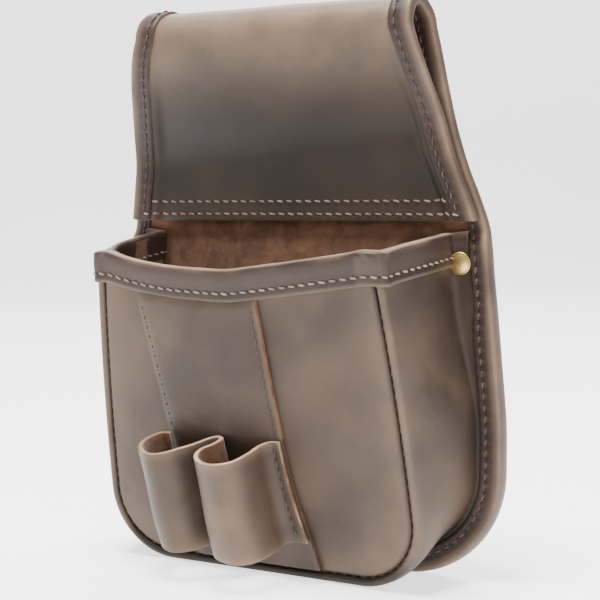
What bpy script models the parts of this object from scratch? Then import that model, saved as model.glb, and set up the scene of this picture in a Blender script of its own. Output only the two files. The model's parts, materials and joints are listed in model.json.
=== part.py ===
"""Electrician's leather tool pouch with a folded belt flap, a riveted pocket and two tool loops.

Front faces -Y, +X is to the right and +Z is up.  All driving dimensions below are in millimetres.
"""

import math

import bmesh
import bpy
import numpy as np

MM = 0.001
GAP = 0.3

PANEL_THICK = 2.8
GUSSET_THICK = 2.2
FRONT_THICK = 2.6
BACKING_THICK = 2.2
STRIP_THICK = 2.5
BINDING_THICK = 1.2

# Back panel and belt flap: half widths up the outline, then the fold over the belt.
CORNER_RADIUS = 48.5
CORNER_X = 54.8
CORNER_Z = 50.2
SIDE_HEIGHTS = [50.2, 70.0, 100.0, 135.0, 160.0, 172.0, 184.0, 200.0, 218.0, 240.0, 250.0]
SIDE_RIGHT = [103.3, 103.3, 101.0, 97.8, 94.9, 90.7, 85.7, 80.5, 76.1, 71.4, 69.0]
SIDE_LEFT = [103.3, 103.3, 101.0, 97.8, 94.9, 93.6, 92.4, 90.2, 85.2, 77.8, 74.4]
FOLD_START = 248.0
FOLD_RADIUS = 10.0
FOLD_WAIST_RIGHT = 67.0
FOLD_WAIST_LEFT = 71.5
FLAP_BOTTOM = 161.5
FLAP_INSET = 2.0
TUNNEL_DEPTH = 20.0
TUNNEL_SKEW = 4.0
CONTACT_TOP = 192.0
CONTACT_SKEW = 8.0
REFERENCE_HALF = 80.0
FLAP_GAP_CENTRE = 0.5
FLAP_GAP_SIDE = 3.3
FLAP_GAP_BAND = 16.0
FLAP_GAP_BLEND = 5.0

# Front seam of the pocket: half width, lean and corner.
SEAM_CORNER_RADIUS = 28.0
SEAM_CORNER_X = 51.3
SEAM_CORNER_Z = 33.0
SEAM_HALF = 79.3
SEAM_TAPER = 0.035
SEAM_CURVE = 0.0004
LEAN_BASE = 36.0
LEAN_SLOPE = 0.168
CROWN = 3.0
RIM_FRONT_LEFT = 147.0
RIM_FRONT_RIGHT = 149.0
RIM_CENTRE = 140.0
RIM_DIP_LEFT = 2.6
RIM_DIP_RIGHT = 1.1
RIM_BACK = 156.5
ALLOWANCE = 5.4
ALLOWANCE_RIM = 0.5
FRONT_ROLL = 3.0
GUSSET_ROLL = 2.35
FLANGE_INSET = 11.4
FLANGE_INSET_RIM = 17.3
FLANGE_DROP = 5.5
BEND_RADIUS = 1.5
SPINE_LOW = 50.0

# Bindings.
EDGE_LEG = 9.3
EDGE_LEG_RIM = 7.0
EDGE_WRAP = 1.5
RIM_LEG = 13.0
RIM_INNER_LEG = 12.0
RIM_GAP = 0.65
SIDE_STEPS = 12
CORNER_STEP = 11
STITCH_INSET = 3.0
RIM_RISE = 1.1

# Loop backing and tool loop strip.
BACKING_TOP = 125.0
BACKING_BOTTOM = 9.5
LOOP_TOP = 66.0
LOOP_BOTTOM = 20.0
LOOP_DRIFT = 0.124
LOOP_SAG = 0.2

# Rivets.
RIVET_X = 86.2
RIVET_Z = 143.0
RIVET_CAP_RADIUS = 5.1
RIVET_CAP_HEIGHT = 1.9
RIVET_POST_RADIUS = 2.0
RIVET_HOLE_RADIUS = 2.3
RIVET_SEAT = -4.4
RIVET_SIDES = 32

# Threads.
THREAD_RADIUS = 0.45
THREAD_LIFT = 0.3
EDGE_STITCH_SHARE = 0.68
RIM_STITCH = 9.0
FLAP_ROW_LOW = 3.0
FLAP_ROW_HIGH = 9.0

LEATHER = ((0.155, 0.105, 0.078), 0.55, 0.0)
BINDING = ((0.110, 0.075, 0.062), 0.5, 0.0)
BRASS = ((0.72, 0.55, 0.26), 0.32, 1.0)
THREAD = ((0.30, 0.21, 0.15), 0.8, 0.0)


def clear_scene():
    """Removes every object left in the scene."""
    for obj in list(bpy.data.objects):
        bpy.data.objects.remove(obj, do_unlink=True)


def material(name, look):
    """Makes a Principled material from a colour, a roughness and a metallic value."""
    colour, roughness, metallic = look
    mat = bpy.data.materials.new(name)
    mat.use_nodes = True
    shader = mat.node_tree.nodes["Principled BSDF"]
    shader.inputs["Base Color"].default_value = (*colour, 1.0)
    shader.inputs["Roughness"].default_value = roughness
    shader.inputs["Metallic"].default_value = metallic
    return mat


def smoothstep(t):
    """Eases a number from 0 to 1."""
    t = min(1.0, max(0.0, t))
    return t * t * (3.0 - 2.0 * t)


def mix(a, b, t):
    """Blends two numbers."""
    return a + (b - a) * t


def smooth_curve(xs, ys, x):
    """Reads a smooth curve through the given points at x."""
    x = min(max(x, xs[0]), xs[-1])
    i = min(max(int(np.searchsorted(xs, x)) - 1, 0), len(xs) - 2)
    slopes = np.gradient(np.array(ys), np.array(xs))
    h = xs[i + 1] - xs[i]
    t = (x - xs[i]) / h
    a = (1.0 + 2.0 * t) * (1.0 - t) ** 2 * ys[i] + t * t * (3.0 - 2.0 * t) * ys[i + 1]
    return a + h * (t * (1.0 - t) ** 2 * slopes[i] - t * t * (1.0 - t) * slopes[i + 1])


def smooth_path(points, steps):
    """Runs a Catmull-Rom curve through points, with so many steps between neighbours."""
    pts = [np.array(p, float) for p in points]
    pts = [2.0 * pts[0] - pts[1]] + pts + [2.0 * pts[-1] - pts[-2]]
    path = []
    for i in range(1, len(pts) - 2):
        a, b, c, d = pts[i - 1 : i + 3]
        for k in range(steps):
            t = k / steps
            path.append(
                0.5 * (2 * b + (c - a) * t + (2 * a - 5 * b + 4 * c - d) * t**2
                       + (3 * b - a - 3 * c + d) * t**3)
            )
    path.append(pts[-2])
    return path


def finish(name, bm, mat, parent, smooth_angle=40.0):
    """Turns a bmesh in millimetres into a named object in metres."""
    bmesh.ops.remove_doubles(bm, verts=bm.verts, dist=1e-4)
    bmesh.ops.recalc_face_normals(bm, faces=bm.faces)
    bmesh.ops.triangulate(bm, faces=[f for f in bm.faces if len(f.verts) > 4])
    bmesh.ops.scale(bm, vec=(MM, MM, MM), verts=bm.verts)
    mesh = bpy.data.meshes.new(name)
    bm.to_mesh(mesh)
    bm.free()
    mesh.shade_smooth()
    mesh.set_sharp_from_angle(angle=math.radians(smooth_angle))
    mesh.materials.append(mat)
    obj = bpy.data.objects.new(name, mesh)
    bpy.context.scene.collection.objects.link(obj)
    obj.parent = parent
    return obj


def thick_grid(name, outer, inner, mat, parent, spine=False):
    """Extrudes a grid and bends it to an outer and an inner sheet of points; a spine column meets itself."""
    rows = len(outer)
    cols = len(outer[0])
    bm = bmesh.new()
    bmesh.ops.create_grid(bm, x_segments=cols - 1, y_segments=rows - 1, size=0.5)
    grown = bmesh.ops.extrude_face_region(bm, geom=list(bm.faces), use_keep_orig=True)
    lifted = {e for e in grown["geom"] if isinstance(e, bmesh.types.BMVert)}
    if spine:
        walls = [f for f in bm.faces if all(v.co.x > 0.5 - 1e-5 for v in f.verts)]
        bmesh.ops.delete(bm, geom=walls, context="FACES")
    for v in bm.verts:
        i = int(round((v.co.y + 0.5) * (rows - 1)))
        j = int(round((v.co.x + 0.5) * (cols - 1)))
        v.co = inner[i][j] if v in lifted else outer[i][j]
    return finish(name, bm, mat, parent)


def loft(name, rings, mat, parent, smooth_angle=40.0):
    """Rolls a grid into closed rings of points and caps its ends."""
    count = len(rings[0])
    steps = len(rings) - 1
    bm = bmesh.new()
    bmesh.ops.create_grid(bm, x_segments=count, y_segments=steps, size=0.5)
    for v in bm.verts:
        i = int(round((v.co.y + 0.5) * steps))
        j = int(round((v.co.x + 0.5) * count)) % count
        v.co = rings[i][j]
    bmesh.ops.remove_doubles(bm, verts=bm.verts, dist=1e-5)
    bmesh.ops.holes_fill(bm, edges=[e for e in bm.edges if e.is_boundary], sides=0)
    return finish(name, bm, mat, parent, smooth_angle)


def cord(name, path, mat, parent, radius=THREAD_RADIUS, sides=5):
    """Sweeps a round thread along a path of points."""
    pts = [np.array(p, float) for p in path]
    rings = []
    across = None
    for i, p in enumerate(pts):
        ahead = pts[min(i + 1, len(pts) - 1)] - pts[max(i - 1, 0)]
        ahead = ahead / np.linalg.norm(ahead)
        if across is None:
            across = np.cross(ahead, (0.31, 0.77, 0.55))
        across = across - ahead * np.dot(across, ahead)
        across = across / np.linalg.norm(across)
        up = np.cross(ahead, across)
        ring = []
        for k in range(sides):
            a = 2.0 * math.pi * k / sides
            ring.append(p + radius * (math.cos(a) * across + math.sin(a) * up))
        rings.append(ring)
    return loft(name, rings, mat, parent, 80.0)


# ---------------------------------------------------------------- back panel and flap


FLAP_START = FOLD_START + math.pi * FOLD_RADIUS
PANEL_END = FLAP_START + FOLD_START - FLAP_BOTTOM


def half_width(side, s):
    """Half width of the back panel and flap at a distance s along the sheet; side is -1 or 1."""
    table = SIDE_RIGHT if side > 0 else SIDE_LEFT
    waist = FOLD_WAIST_RIGHT if side > 0 else FOLD_WAIST_LEFT
    if s < CORNER_Z:
        drop = min(CORNER_RADIUS, CORNER_Z - s)
        return CORNER_X + math.sqrt(CORNER_RADIUS**2 - drop**2)
    if s <= FOLD_START:
        return smooth_curve(SIDE_HEIGHTS, table, s)
    if s < FLAP_START:
        t = (s - FOLD_START) / (FLAP_START - FOLD_START)
        base = smooth_curve(SIDE_HEIGHTS, table, FOLD_START) - FLAP_INSET * smoothstep(t)
        return mix(base, waist, math.sin(math.pi * t) ** 2)
    z = FOLD_START - (s - FLAP_START)
    return smooth_curve(SIDE_HEIGHTS, table, z) - FLAP_INSET


def flap_depth(u, z):
    """Distance of the flap's flesh side in front of the back panel's at a height z."""
    side = 1 if u > 0 else -1
    edge = half_width(side, FLAP_START + FOLD_START - z)
    t = (abs(u) - (edge - FLAP_GAP_BAND)) / FLAP_GAP_BLEND
    gap = mix(FLAP_GAP_CENTRE, FLAP_GAP_SIDE, smoothstep(t))
    depth = TUNNEL_DEPTH - TUNNEL_SKEW * u / REFERENCE_HALF
    low = CONTACT_TOP + CONTACT_SKEW * u / REFERENCE_HALF
    return mix(gap, depth, smoothstep((z - low) / (FOLD_START - low)))


def fold(u, s, n):
    """Places a point of the flat pattern: u across, s along, n out of the flesh side towards the grain."""
    if s <= FOLD_START:
        return np.array((u, n, s))
    if s < FLAP_START:
        reach = 0.5 * flap_depth(u, FOLD_START)
        a = (s - FOLD_START) / FOLD_RADIUS
        normal = np.array((0.0, math.cos(a) / reach, math.sin(a) / FOLD_RADIUS))
        normal = normal / np.linalg.norm(normal)
        foot = np.array((u, reach * (math.cos(a) - 1.0), FOLD_START + FOLD_RADIUS * math.sin(a)))
        return foot + normal * n
    z = FOLD_START - (s - FLAP_START)
    slope = (flap_depth(u, z + 0.5) - flap_depth(u, z - 0.5)) * (1.0 if z < FOLD_START - 1.0 else 0.0)
    length = math.hypot(1.0, slope)
    return np.array((u, -flap_depth(u, z) - n / length, z + n * slope / length))


def side_rows():
    """Distances along the sheet, from the lower corners to just short of the flap's bottom edge."""
    rows = [CORNER_Z, 70.0, 85.0, 100.0, 120.0, 138.0, 148.0, 152.0, 155.0, 158.6, 162.0]
    rows += list(np.linspace(168.0, FOLD_START, 11))
    rows += [FOLD_START + FOLD_RADIUS * math.radians(a) for a in range(20, 180, 20)]
    rows += list(np.linspace(FLAP_START, PANEL_END - 6.0, 13))
    return rows + [PANEL_END - 0.8]


def corner_turns():
    """Angles round a lower corner, from the side to the bottom."""
    return [math.radians(a) for a in range(10, 91, 10)]


def panel_columns(s):
    """Positions across the sheet at which a row is ruled."""
    left = -half_width(-1, s)
    right = half_width(1, s)
    near = (0.0, 5.5, 11.0, 16.0)
    middle = [mix(left + near[-1], right - near[-1], f) for f in (0.2, 0.4, 0.6, 0.8)]
    return [left + d for d in near] + middle + [right - d for d in near[::-1]]


def back_panel(mat, parent):
    """The back panel and belt flap in one folded sheet."""
    rows = [CORNER_Z - CORNER_RADIUS * math.sin(a) for a in corner_turns()[::-1]]
    rows += side_rows() + [PANEL_END]
    outer = [[fold(x, s, PANEL_THICK) for x in panel_columns(s)] for s in rows]
    inner = [[fold(x, s, 0.0) for x in panel_columns(s)] for s in rows]
    return thick_grid("back_panel", outer, inner, mat, parent)


def edge_path():
    """Outline of the back panel and flap in the flat pattern, from one flap corner to the other."""
    side = side_rows()[::-1]
    turn = [
        (CORNER_X + CORNER_RADIUS * math.cos(a), CORNER_Z - CORNER_RADIUS * math.sin(a))
        for a in corner_turns()
    ]
    left = [(-half_width(-1, s), s) for s in side] + [(-x, z) for x, z in turn]
    right = [(half_width(1, s), s) for s in side] + turn
    base = CORNER_Z - CORNER_RADIUS
    return left + [(x, base) for x in (-35.0, -12.0, 12.0, 35.0)] + right[::-1]


def with_inward(path):
    """Adds the unit inward normal to every point of a flat outline that runs left side first."""
    pts = [np.array(p, float) for p in path]
    out = []
    for i, p in enumerate(pts):
        ahead = pts[min(i + 1, len(pts) - 1)] - pts[max(i - 1, 0)]
        ahead = ahead / np.linalg.norm(ahead)
        inward = np.array((-ahead[1], ahead[0]))
        if p[1] >= CORNER_Z:
            inward = np.array((-math.copysign(1.0, p[0]), 0.0))
        out.append((p, inward))
    return out


def under_leg(s):
    """Gap between the flesh side and the binding's inner leg: over the flange low down, on the panel above."""
    over = 2.0 * GAP + GUSSET_THICK
    return mix(over, GAP, smoothstep((s - 152.0) / 6.4))


def leg_width(s):
    """Width of the edge binding's legs inside the panel outline."""
    narrow = smoothstep((s - 112.0) / 14.0) * (1.0 - smoothstep((s - 158.0) / 14.0))
    return mix(EDGE_LEG, EDGE_LEG_RIM, narrow)


def edge_binding(mat, parent):
    """Thin leather folded over the outline of the back panel and flap."""
    rings = []
    for p, inward in with_inward(edge_path()):
        near = under_leg(p[1])
        far = near + BINDING_THICK
        leg = leg_width(p[1])
        top = PANEL_THICK + GAP
        section = [
            (leg, top + BINDING_THICK), (0.0, top + BINDING_THICK),
            (-EDGE_WRAP, top - 0.2), (-EDGE_WRAP, 0.5 - near),
            (0.0, -far), (leg, -far), (leg, -near), (-GAP, -near),
            (-GAP, top), (leg, top),
        ]
        ring = []
        for d, n in section:
            q = p + inward * d
            ring.append(fold(q[0], q[1], n))
        rings.append(ring)
    return loft("edge_binding", rings, mat, parent)


# ---------------------------------------------------------------- pocket


def seam_half(z):
    """Half width of the front seam at a height."""
    d = z - SEAM_CORNER_Z
    return SEAM_HALF - SEAM_TAPER * d - SEAM_CURVE * d * d


def lean(z):
    """Front position of the seam at a height."""
    return -LEAN_BASE - LEAN_SLOPE * z


def pocket_stations():
    """Stations round one half of the pocket: kind, share of the height or of the bottom, and turn."""
    stations = [("side", k / SIDE_STEPS, None) for k in range(SIDE_STEPS)]
    stations += [("side", 1.0, math.radians(a)) for a in range(0, 91, CORNER_STEP)]
    stations += [("base", f, None) for f in (0.66, 0.33, 0.0)]
    return stations


def seam_station(side, kind, value, turn):
    """Front seam point, flange outline point and outward direction at one station; side is -1 or 1."""
    rim = RIM_FRONT_RIGHT if side > 0 else RIM_FRONT_LEFT
    if kind == "base":
        front = np.array((side * SEAM_CORNER_X * value, SEAM_CORNER_Z - SEAM_CORNER_RADIUS))
        back = np.array((side * CORNER_X * value, CORNER_Z - CORNER_RADIUS))
        return front, back, np.array((0.0, -1.0))
    if turn is not None:
        out = np.array((side * math.cos(turn), -math.sin(turn)))
        front = np.array((side * SEAM_CORNER_X, SEAM_CORNER_Z)) + SEAM_CORNER_RADIUS * out
        back = np.array((side * CORNER_X, CORNER_Z)) + CORNER_RADIUS * out
        return front, back, out
    zf = mix(rim, SEAM_CORNER_Z, value)
    zb = mix(RIM_BACK, CORNER_Z, value)
    slope = 0.5 * (seam_half(zf - 4.0) - seam_half(zf + 4.0)) / 4.0
    out = np.array((side * 1.0, slope))
    out = out / np.linalg.norm(out)
    return np.array((side * seam_half(zf), zf)), np.array((side * half_width(side, zb), zb)), out


def all_stations():
    """Every station from the left rim round the bottom to the right rim."""
    left = [seam_station(-1, *s) for s in pocket_stations()]
    right = [seam_station(1, *s) for s in pocket_stations()[:-1]]
    return left + right[::-1]


def rim_dip(side, f):
    """Share of the way down from a front corner to the middle, at a share of the way across."""
    return 1.0 - (1.0 - f) ** (RIM_DIP_RIGHT if side > 0 else RIM_DIP_LEFT)


def rim_share(z):
    """1 at the rim and 0 well below it."""
    return smoothstep((z - 112.0) / 14.0)


def gusset(mat, parent):
    """The U-shaped side wall with a turned front edge and a flange behind."""
    outer = []
    inner = []
    for front, back, out in all_stations():
        y0 = lean(front[1])
        tuck = mix(ALLOWANCE, ALLOWANCE_RIM, rim_share(front[1]))
        inset = mix(FLANGE_INSET, FLANGE_INSET_RIM, rim_share(back[1]))
        roll = GUSSET_ROLL
        side = GAP / 2.0 + 2.0 * roll
        joint = back - out * inset
        flange = -GAP - GUSSET_THICK
        run = [(front, GAP / 2.0, y0 + roll + tuck, -1.0, 0.0)]
        for a in range(180, 361, 30):
            c = math.cos(math.radians(a))
            s = math.sin(math.radians(a))
            run.append((front, GAP / 2.0 + roll + roll * c, y0 + roll + roll * s, c, s))
        run.append((front, side, y0 + 9.0, 1.0, 0.0))
        run.append((mix(front, joint, 0.3), side - 0.3, mix(y0, flange, 0.35), 1.0, 0.0))
        run.append((mix(front, joint, 0.65), side - 1.6, mix(y0, flange, 0.65), 1.0, 0.0))
        run.append((mix(front, joint, 0.93), 0.9, mix(y0, flange, 0.9), 1.0, 0.0))
        for a in range(0, 91, 30):
            c = math.cos(math.radians(a))
            s = math.sin(math.radians(a))
            y = flange - BEND_RADIUS + BEND_RADIUS * s
            run.append((joint, BEND_RADIUS * (1.0 - c), y, c, -s))
        run.append((joint, inset - 0.2, flange, 0.0, -1.0))
        top = []
        low = []
        drop = FLANGE_DROP * rim_share(back[1])
        for k, (base, o, y, no, ny) in enumerate(run):
            sink = drop if k == len(run) - 1 else 0.0
            a = base + out * o
            b = base + out * (o - no * GUSSET_THICK)
            top.append((a[0], y, a[1] - sink))
            low.append((b[0], y - ny * GUSSET_THICK, b[1] - sink))
        outer.append(top)
        inner.append(low)
    return thick_grid("gusset", outer, inner, mat, parent)


def front_y(x, z):
    """Front face of the front panel."""
    half = seam_half(max(z, SEAM_CORNER_Z)) - FRONT_ROLL
    across = max(0.0, 1.0 - (x / half) ** 2)
    down = smoothstep(z / 40.0)
    return lean(z) - CROWN * across * down


def front_panel(mat, parent):
    """The crowned front panel with its edge turned back into the seam."""
    outer = []
    inner = []
    stations = all_stations()
    middle = (len(stations) - 1) / 2.0
    for k, (front, back, out) in enumerate(stations):
        y0 = lean(front[1])
        tuck = mix(ALLOWANCE, ALLOWANCE_RIM, rim_share(front[1]))
        run = [(-GAP / 2.0, y0 + FRONT_ROLL + tuck, 1.0, 0.0)]
        for a in range(0, 91, 30):
            c = math.cos(math.radians(a))
            s = math.sin(math.radians(a))
            run.append((-GAP / 2.0 - FRONT_ROLL * (1.0 - c), y0 + FRONT_ROLL * (1.0 - s), c, -s))
        top = []
        low = []
        for o, y, no, ny in run:
            a = front + out * o
            b = front + out * (o - no * FRONT_THICK)
            top.append((a[0], y, a[1]))
            low.append((b[0], y - ny * FRONT_THICK, b[1]))
        start = front - out * (FRONT_ROLL + GAP / 2.0)
        t = abs(k - middle) / middle
        spine = np.array((0.0, mix(SPINE_LOW, RIM_CENTRE, t**1.5)))
        for f in (0.08, 0.2, 0.35, 0.55, 0.78, 1.0):
            p = np.array((mix(start[0], spine[0], f), mix(start[1], spine[1], rim_dip(k - middle, f))))
            y = front_y(p[0], p[1])
            top.append((p[0], y, p[1]))
            low.append((p[0], y + FRONT_THICK, p[1]))
        outer.append(top)
        inner.append(low)
    return thick_grid("front_panel", outer, inner, mat, parent, spine=True)


def rim_stations():
    """Outer and inner points of the rim line, its height and the way its legs run down."""
    halves = []
    for side in (-1, 1):
        rim = RIM_FRONT_RIGHT if side > 0 else RIM_FRONT_LEFT
        front, back, out = seam_station(side, "side", 0.0, None)
        joint = back - out * FLANGE_INSET_RIM
        wall = GAP / 2.0 + 2.0 * GUSSET_ROLL
        y0 = lean(rim)
        down_side = np.array((side * 0.125, 0.0, -1.0))
        down_front = np.array((0.0, LEAN_SLOPE, -1.0))
        half = []
        for f, share, bulge in ((0.93, 0.9, 0.9), (0.65, 0.65, wall - 1.6), (0.3, 0.35, wall - 0.3)):
            p = mix(front, joint, f) + out * bulge
            q = p - out * GUSSET_THICK
            y = mix(y0, -GAP - GUSSET_THICK, share)
            half.append(((p[0], y), (q[0], y), p[1], down_side, (side, 0.0)))
        p = front + out * wall
        q = p - out * GUSSET_THICK
        half.append(((p[0], y0 + 9.0), (q[0] - side * 0.2, y0 + 11.0), p[1], down_side, (side, 0.0)))
        corner = down_side + down_front - np.array((0.0, 0.0, -1.0))
        x = front[0]
        half.append(((x + side * wall, y0 + 3.0), (x + side * 0.6, y0 + 8.0), rim, corner, (side, -0.15)))
        half.append(((x + side * (wall - 1.0), y0 + 0.4), (x - side * 1.2, y0 + 7.0), rim, corner, (side, -0.9)))
        half.append(((x + side * 2.0, y0 - 0.2), (x - side * 3.2, y0 + 6.2), rim, corner, (side * 0.3, -1.0)))
        half.append(((x - side * 2.5, y0 - 0.2), (x - side * 6.0, y0 + 4.6), rim, down_front, (0.0, -1.0)))
        for f in (0.15, 0.35, 0.55, 0.8, 1.0):
            px = mix(x - side * (FRONT_ROLL + 0.2), 0.0, f)
            pz = mix(rim, RIM_CENTRE, rim_dip(side, f))
            y = front_y(px, pz)
            half.append(((px, y), (px, y + FRONT_THICK), pz, down_front, (0.0, -1.0)))
        halves.append(half)
    return halves[0] + halves[1][-2::-1]


def rim_binding(mat, parent):
    """Thin leather folded over the pocket mouth."""
    rings = []
    for outer, inner, z, down, way in rim_stations():
        face = np.array((*outer, z))
        back = np.array((*inner, z))
        way = np.array((way[0], way[1], 0.0))
        way = way / np.linalg.norm(way)
        across = way
        t = BINDING_THICK
        top = np.array((0.0, 0.0, 1.0))
        low = down * RIM_LEG
        low_in = down * RIM_INNER_LEG
        ring = [
            face + across * (RIM_GAP + t) + low,
            face + across * (RIM_GAP + t) - top * 0.6,
            face + across * RIM_GAP * 0.5 + top * (RIM_RISE + t),
            back - across * RIM_GAP * 0.5 + top * (RIM_RISE + t),
            back - across * (RIM_GAP + t) - top * 0.6,
            back - across * (RIM_GAP + t) + low_in,
            back - across * RIM_GAP + low_in,
            back - across * RIM_GAP + top * RIM_RISE,
            face + across * RIM_GAP + top * RIM_RISE,
            face + across * RIM_GAP + low,
        ]
        rings.append(ring)
    return loft("rim_binding", rings, mat, parent)


# ---------------------------------------------------------------- loop backing and tool loops


def backing_edge(side, z):
    """Left or right edge of the loop backing at a height."""
    if side > 0:
        return smooth_curve([5.0, 57.0, 125.0], [33.0, 22.5, 14.4], z)
    return smooth_curve([5.0, 75.0, 125.0], [-35.0, -43.0, -51.8], z)


def loop_backing(mat, parent):
    """Raw-edged overlay on the front panel that carries the tool loops."""
    outer = []
    inner = []
    for z in np.linspace(BACKING_BOTTOM, BACKING_TOP, 13):
        left = backing_edge(-1, z)
        right = backing_edge(1, z)
        xs = [mix(left, right, f) for f in np.linspace(0.0, 1.0, 9)]
        outer.append([(x, front_y(x, z) - GAP - 0.2 - BACKING_THICK, z) for x in xs])
        inner.append([(x, front_y(x, z) - GAP - 0.2, z) for x in xs])
    return thick_grid("loop_backing", outer, inner, mat, parent)


STRIP_LINE = [
    (-38.5, 1.6), (-42.6, 1.7), (-45.3, 4.2), (-46.2, 9.0), (-44.8, 15.5), (-40.5, 21.3),
    (-33.5, 24.0), (-26.5, 21.0), (-21.5, 14.5), (-17.6, 8.0), (-14.6, 3.6), (-11.4, 1.7),
    (-8.4, 3.6), (-9.6, 8.4), (-12.4, 13.0), (-11.6, 19.0), (-6.2, 24.4), (1.6, 26.6),
    (9.0, 23.0), (12.6, 14.0), (13.6, 6.0), (16.0, 1.9), (20.0, 1.6),
]


def strip_point(x, out, drop):
    """Point of the tool loop strip: x across, out in front of the backing, drop down from the top edge."""
    z = LOOP_TOP - drop
    px = x + LOOP_DRIFT * drop
    y = front_y(px, z) - GAP - 0.2 - BACKING_THICK - out
    return (px, y, z - LOOP_SAG * out)


def tool_loop_strip(mat, parent):
    """One strip of leather forming two tool loops."""
    line = smooth_path(STRIP_LINE, 3)
    drops = np.linspace(0.0, LOOP_TOP - LOOP_BOTTOM, 5)
    outer = []
    inner = []
    for i, p in enumerate(line):
        ahead = line[min(i + 1, len(line) - 1)] - line[max(i - 1, 0)]
        ahead = ahead / np.linalg.norm(ahead)
        side = np.array((-ahead[1], ahead[0])) * STRIP_THICK / 2.0
        a = p + side
        b = p - side
        a[1] = max(a[1], 0.3)
        b[1] = max(b[1], 0.3)
        outer.append([strip_point(a[0], a[1], d) for d in drops])
        inner.append([strip_point(b[0], b[1], d) for d in drops])
    return thick_grid("tool_loop_strip", outer, inner, mat, parent)


# ---------------------------------------------------------------- rivets


def lathe(name, profile, centre, mat, parent):
    """Turns a profile of (radius, y) points about a line along Y through a centre."""
    rings = []
    for radius, y in profile:
        ring = []
        for k in range(RIVET_SIDES):
            a = 2.0 * math.pi * k / RIVET_SIDES
            ring.append((centre[0] + radius * math.cos(a), y, centre[1] + radius * math.sin(a)))
        rings.append(ring)
    return loft(name, rings, mat, parent, 35.0)


def rivets(mat, parent):
    """A double-cap rivet at each end of the rim."""
    rear = PANEL_THICK + 2.0 * GAP + BINDING_THICK
    for side, word in ((-1, "left"), (1, "right")):
        centre = (side * RIVET_X, RIVET_Z)
        crown = RIVET_SEAT - RIVET_CAP_HEIGHT
        r = RIVET_CAP_RADIUS
        cap = [
            (r * 0.35, crown), (r * 0.7, crown + 0.2), (r * 0.92, crown + 0.75), (r, crown + 1.3),
            (r * 0.97, RIVET_SEAT), (RIVET_POST_RADIUS, RIVET_SEAT), (RIVET_POST_RADIUS, rear + 0.2),
        ]
        lathe("rivet_cap_" + word, cap, centre, mat, parent)
        base = [
            (r * 0.95, rear), (r, rear + 0.5), (r * 0.9, rear + 1.1), (r * 0.6, rear + 1.5),
            (r * 0.3, rear + 1.6),
        ]
        socket = [(RIVET_POST_RADIUS + 0.2, rear + 0.6), (RIVET_POST_RADIUS + 0.2, rear)]
        lathe("rivet_back_" + word, [(0.4, rear + 0.6)] + socket + base, centre, mat, parent)


def rivet_holes(objects, parent):
    """Cuts clearance holes for the rivet posts."""
    for side, word in ((-1, "left"), (1, "right")):
        bm = bmesh.new()
        bmesh.ops.create_cone(
            bm, cap_ends=True, segments=RIVET_SIDES, radius1=RIVET_HOLE_RADIUS,
            radius2=RIVET_HOLE_RADIUS, depth=20.0,
        )
        for v in bm.verts:
            x, y, z = v.co
            v.co = (x + side * RIVET_X, z, y + RIVET_Z)
        cutter = finish("cutter_" + word, bm, bpy.data.materials["brass"], parent)
        cutter.hide_render = True
        cutter.display_type = "WIRE"
        for obj in objects:
            mod = obj.modifiers.new("rivet_hole_" + word, "BOOLEAN")
            mod.operation = "DIFFERENCE"
            mod.solver = "EXACT"
            mod.object = cutter


# ---------------------------------------------------------------- threads


def lift(thickness):
    """Height of a thread's centre over the flesh side of a sheet of the given total thickness."""
    return thickness + THREAD_LIFT + THREAD_RADIUS


def threads(mat, parent):
    """Every row of stitching as one thread lying over the leather."""
    top = PANEL_THICK
    bound = top + GAP + BINDING_THICK
    rows = (
        ("thread_flap_lower", FLAP_ROW_LOW, 6.0, lift(bound)),
        ("thread_flap_upper", FLAP_ROW_HIGH, 12.5, lift(top)),
    )
    for name, up, inset, level in rows:
        s = PANEL_END - up
        left = -half_width(-1, s) + inset
        right = half_width(1, s) - inset
        xs = [mix(left, right, f) for f in np.linspace(0.0, 1.0, 41)]
        cord(name, [fold(x, s, level) for x in xs], mat, parent)

    row = []
    for p, inward in with_inward(edge_path())[2:-2]:
        q = p + inward * leg_width(p[1]) * EDGE_STITCH_SHARE
        row.append(fold(q[0], q[1], lift(bound)))
    cord("thread_edge", row, mat, parent)

    row = []
    for outer, inner, z, down, way in rim_stations():
        way = np.array((way[0], way[1], 0.0))
        way = way / np.linalg.norm(way)
        row.append(np.array((*outer, z)) + down * RIM_STITCH + way * lift(RIM_GAP + BINDING_THICK))
    cord("thread_rim", row, mat, parent)

    face = GAP + 0.2 + BACKING_THICK
    heights = list(np.linspace(BACKING_TOP - 13.0, BACKING_BOTTOM + 3.5, 12))
    right = [(backing_edge(1, z) - STITCH_INSET, z) for z in heights]
    row = [(x, front_y(x, z) - lift(face), z) for x, z in right if z > LOOP_TOP + 3.0]
    cord("thread_backing_right", row, mat, parent)
    left = [(backing_edge(-1, z) + STITCH_INSET, z) for z in heights]
    row = [(x, front_y(x, z) - lift(face), z) for x, z in left if z > LOOP_TOP + 3.0]
    cord("thread_backing_left", row, mat, parent)

    drops = np.linspace(3.0, LOOP_TOP - LOOP_BOTTOM - 3.0, 6)
    over = STRIP_THICK + 0.4
    for word, x, out in (("left", -40.6, over), ("middle", -11.4, over + 0.1), ("right", 17.4, over)):
        row = [strip_point(x, lift(out), d) for d in drops]
        cord("thread_loop_" + word, row, mat, parent)

    row = []
    for front, back, out in all_stations():
        if front[1] > 128.0:
            continue
        p = front + out * 0.15
        row.append((p[0], lean(front[1]) - THREAD_LIFT, p[1]))
    cord("thread_seam", row, mat, parent, 0.35)


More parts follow.
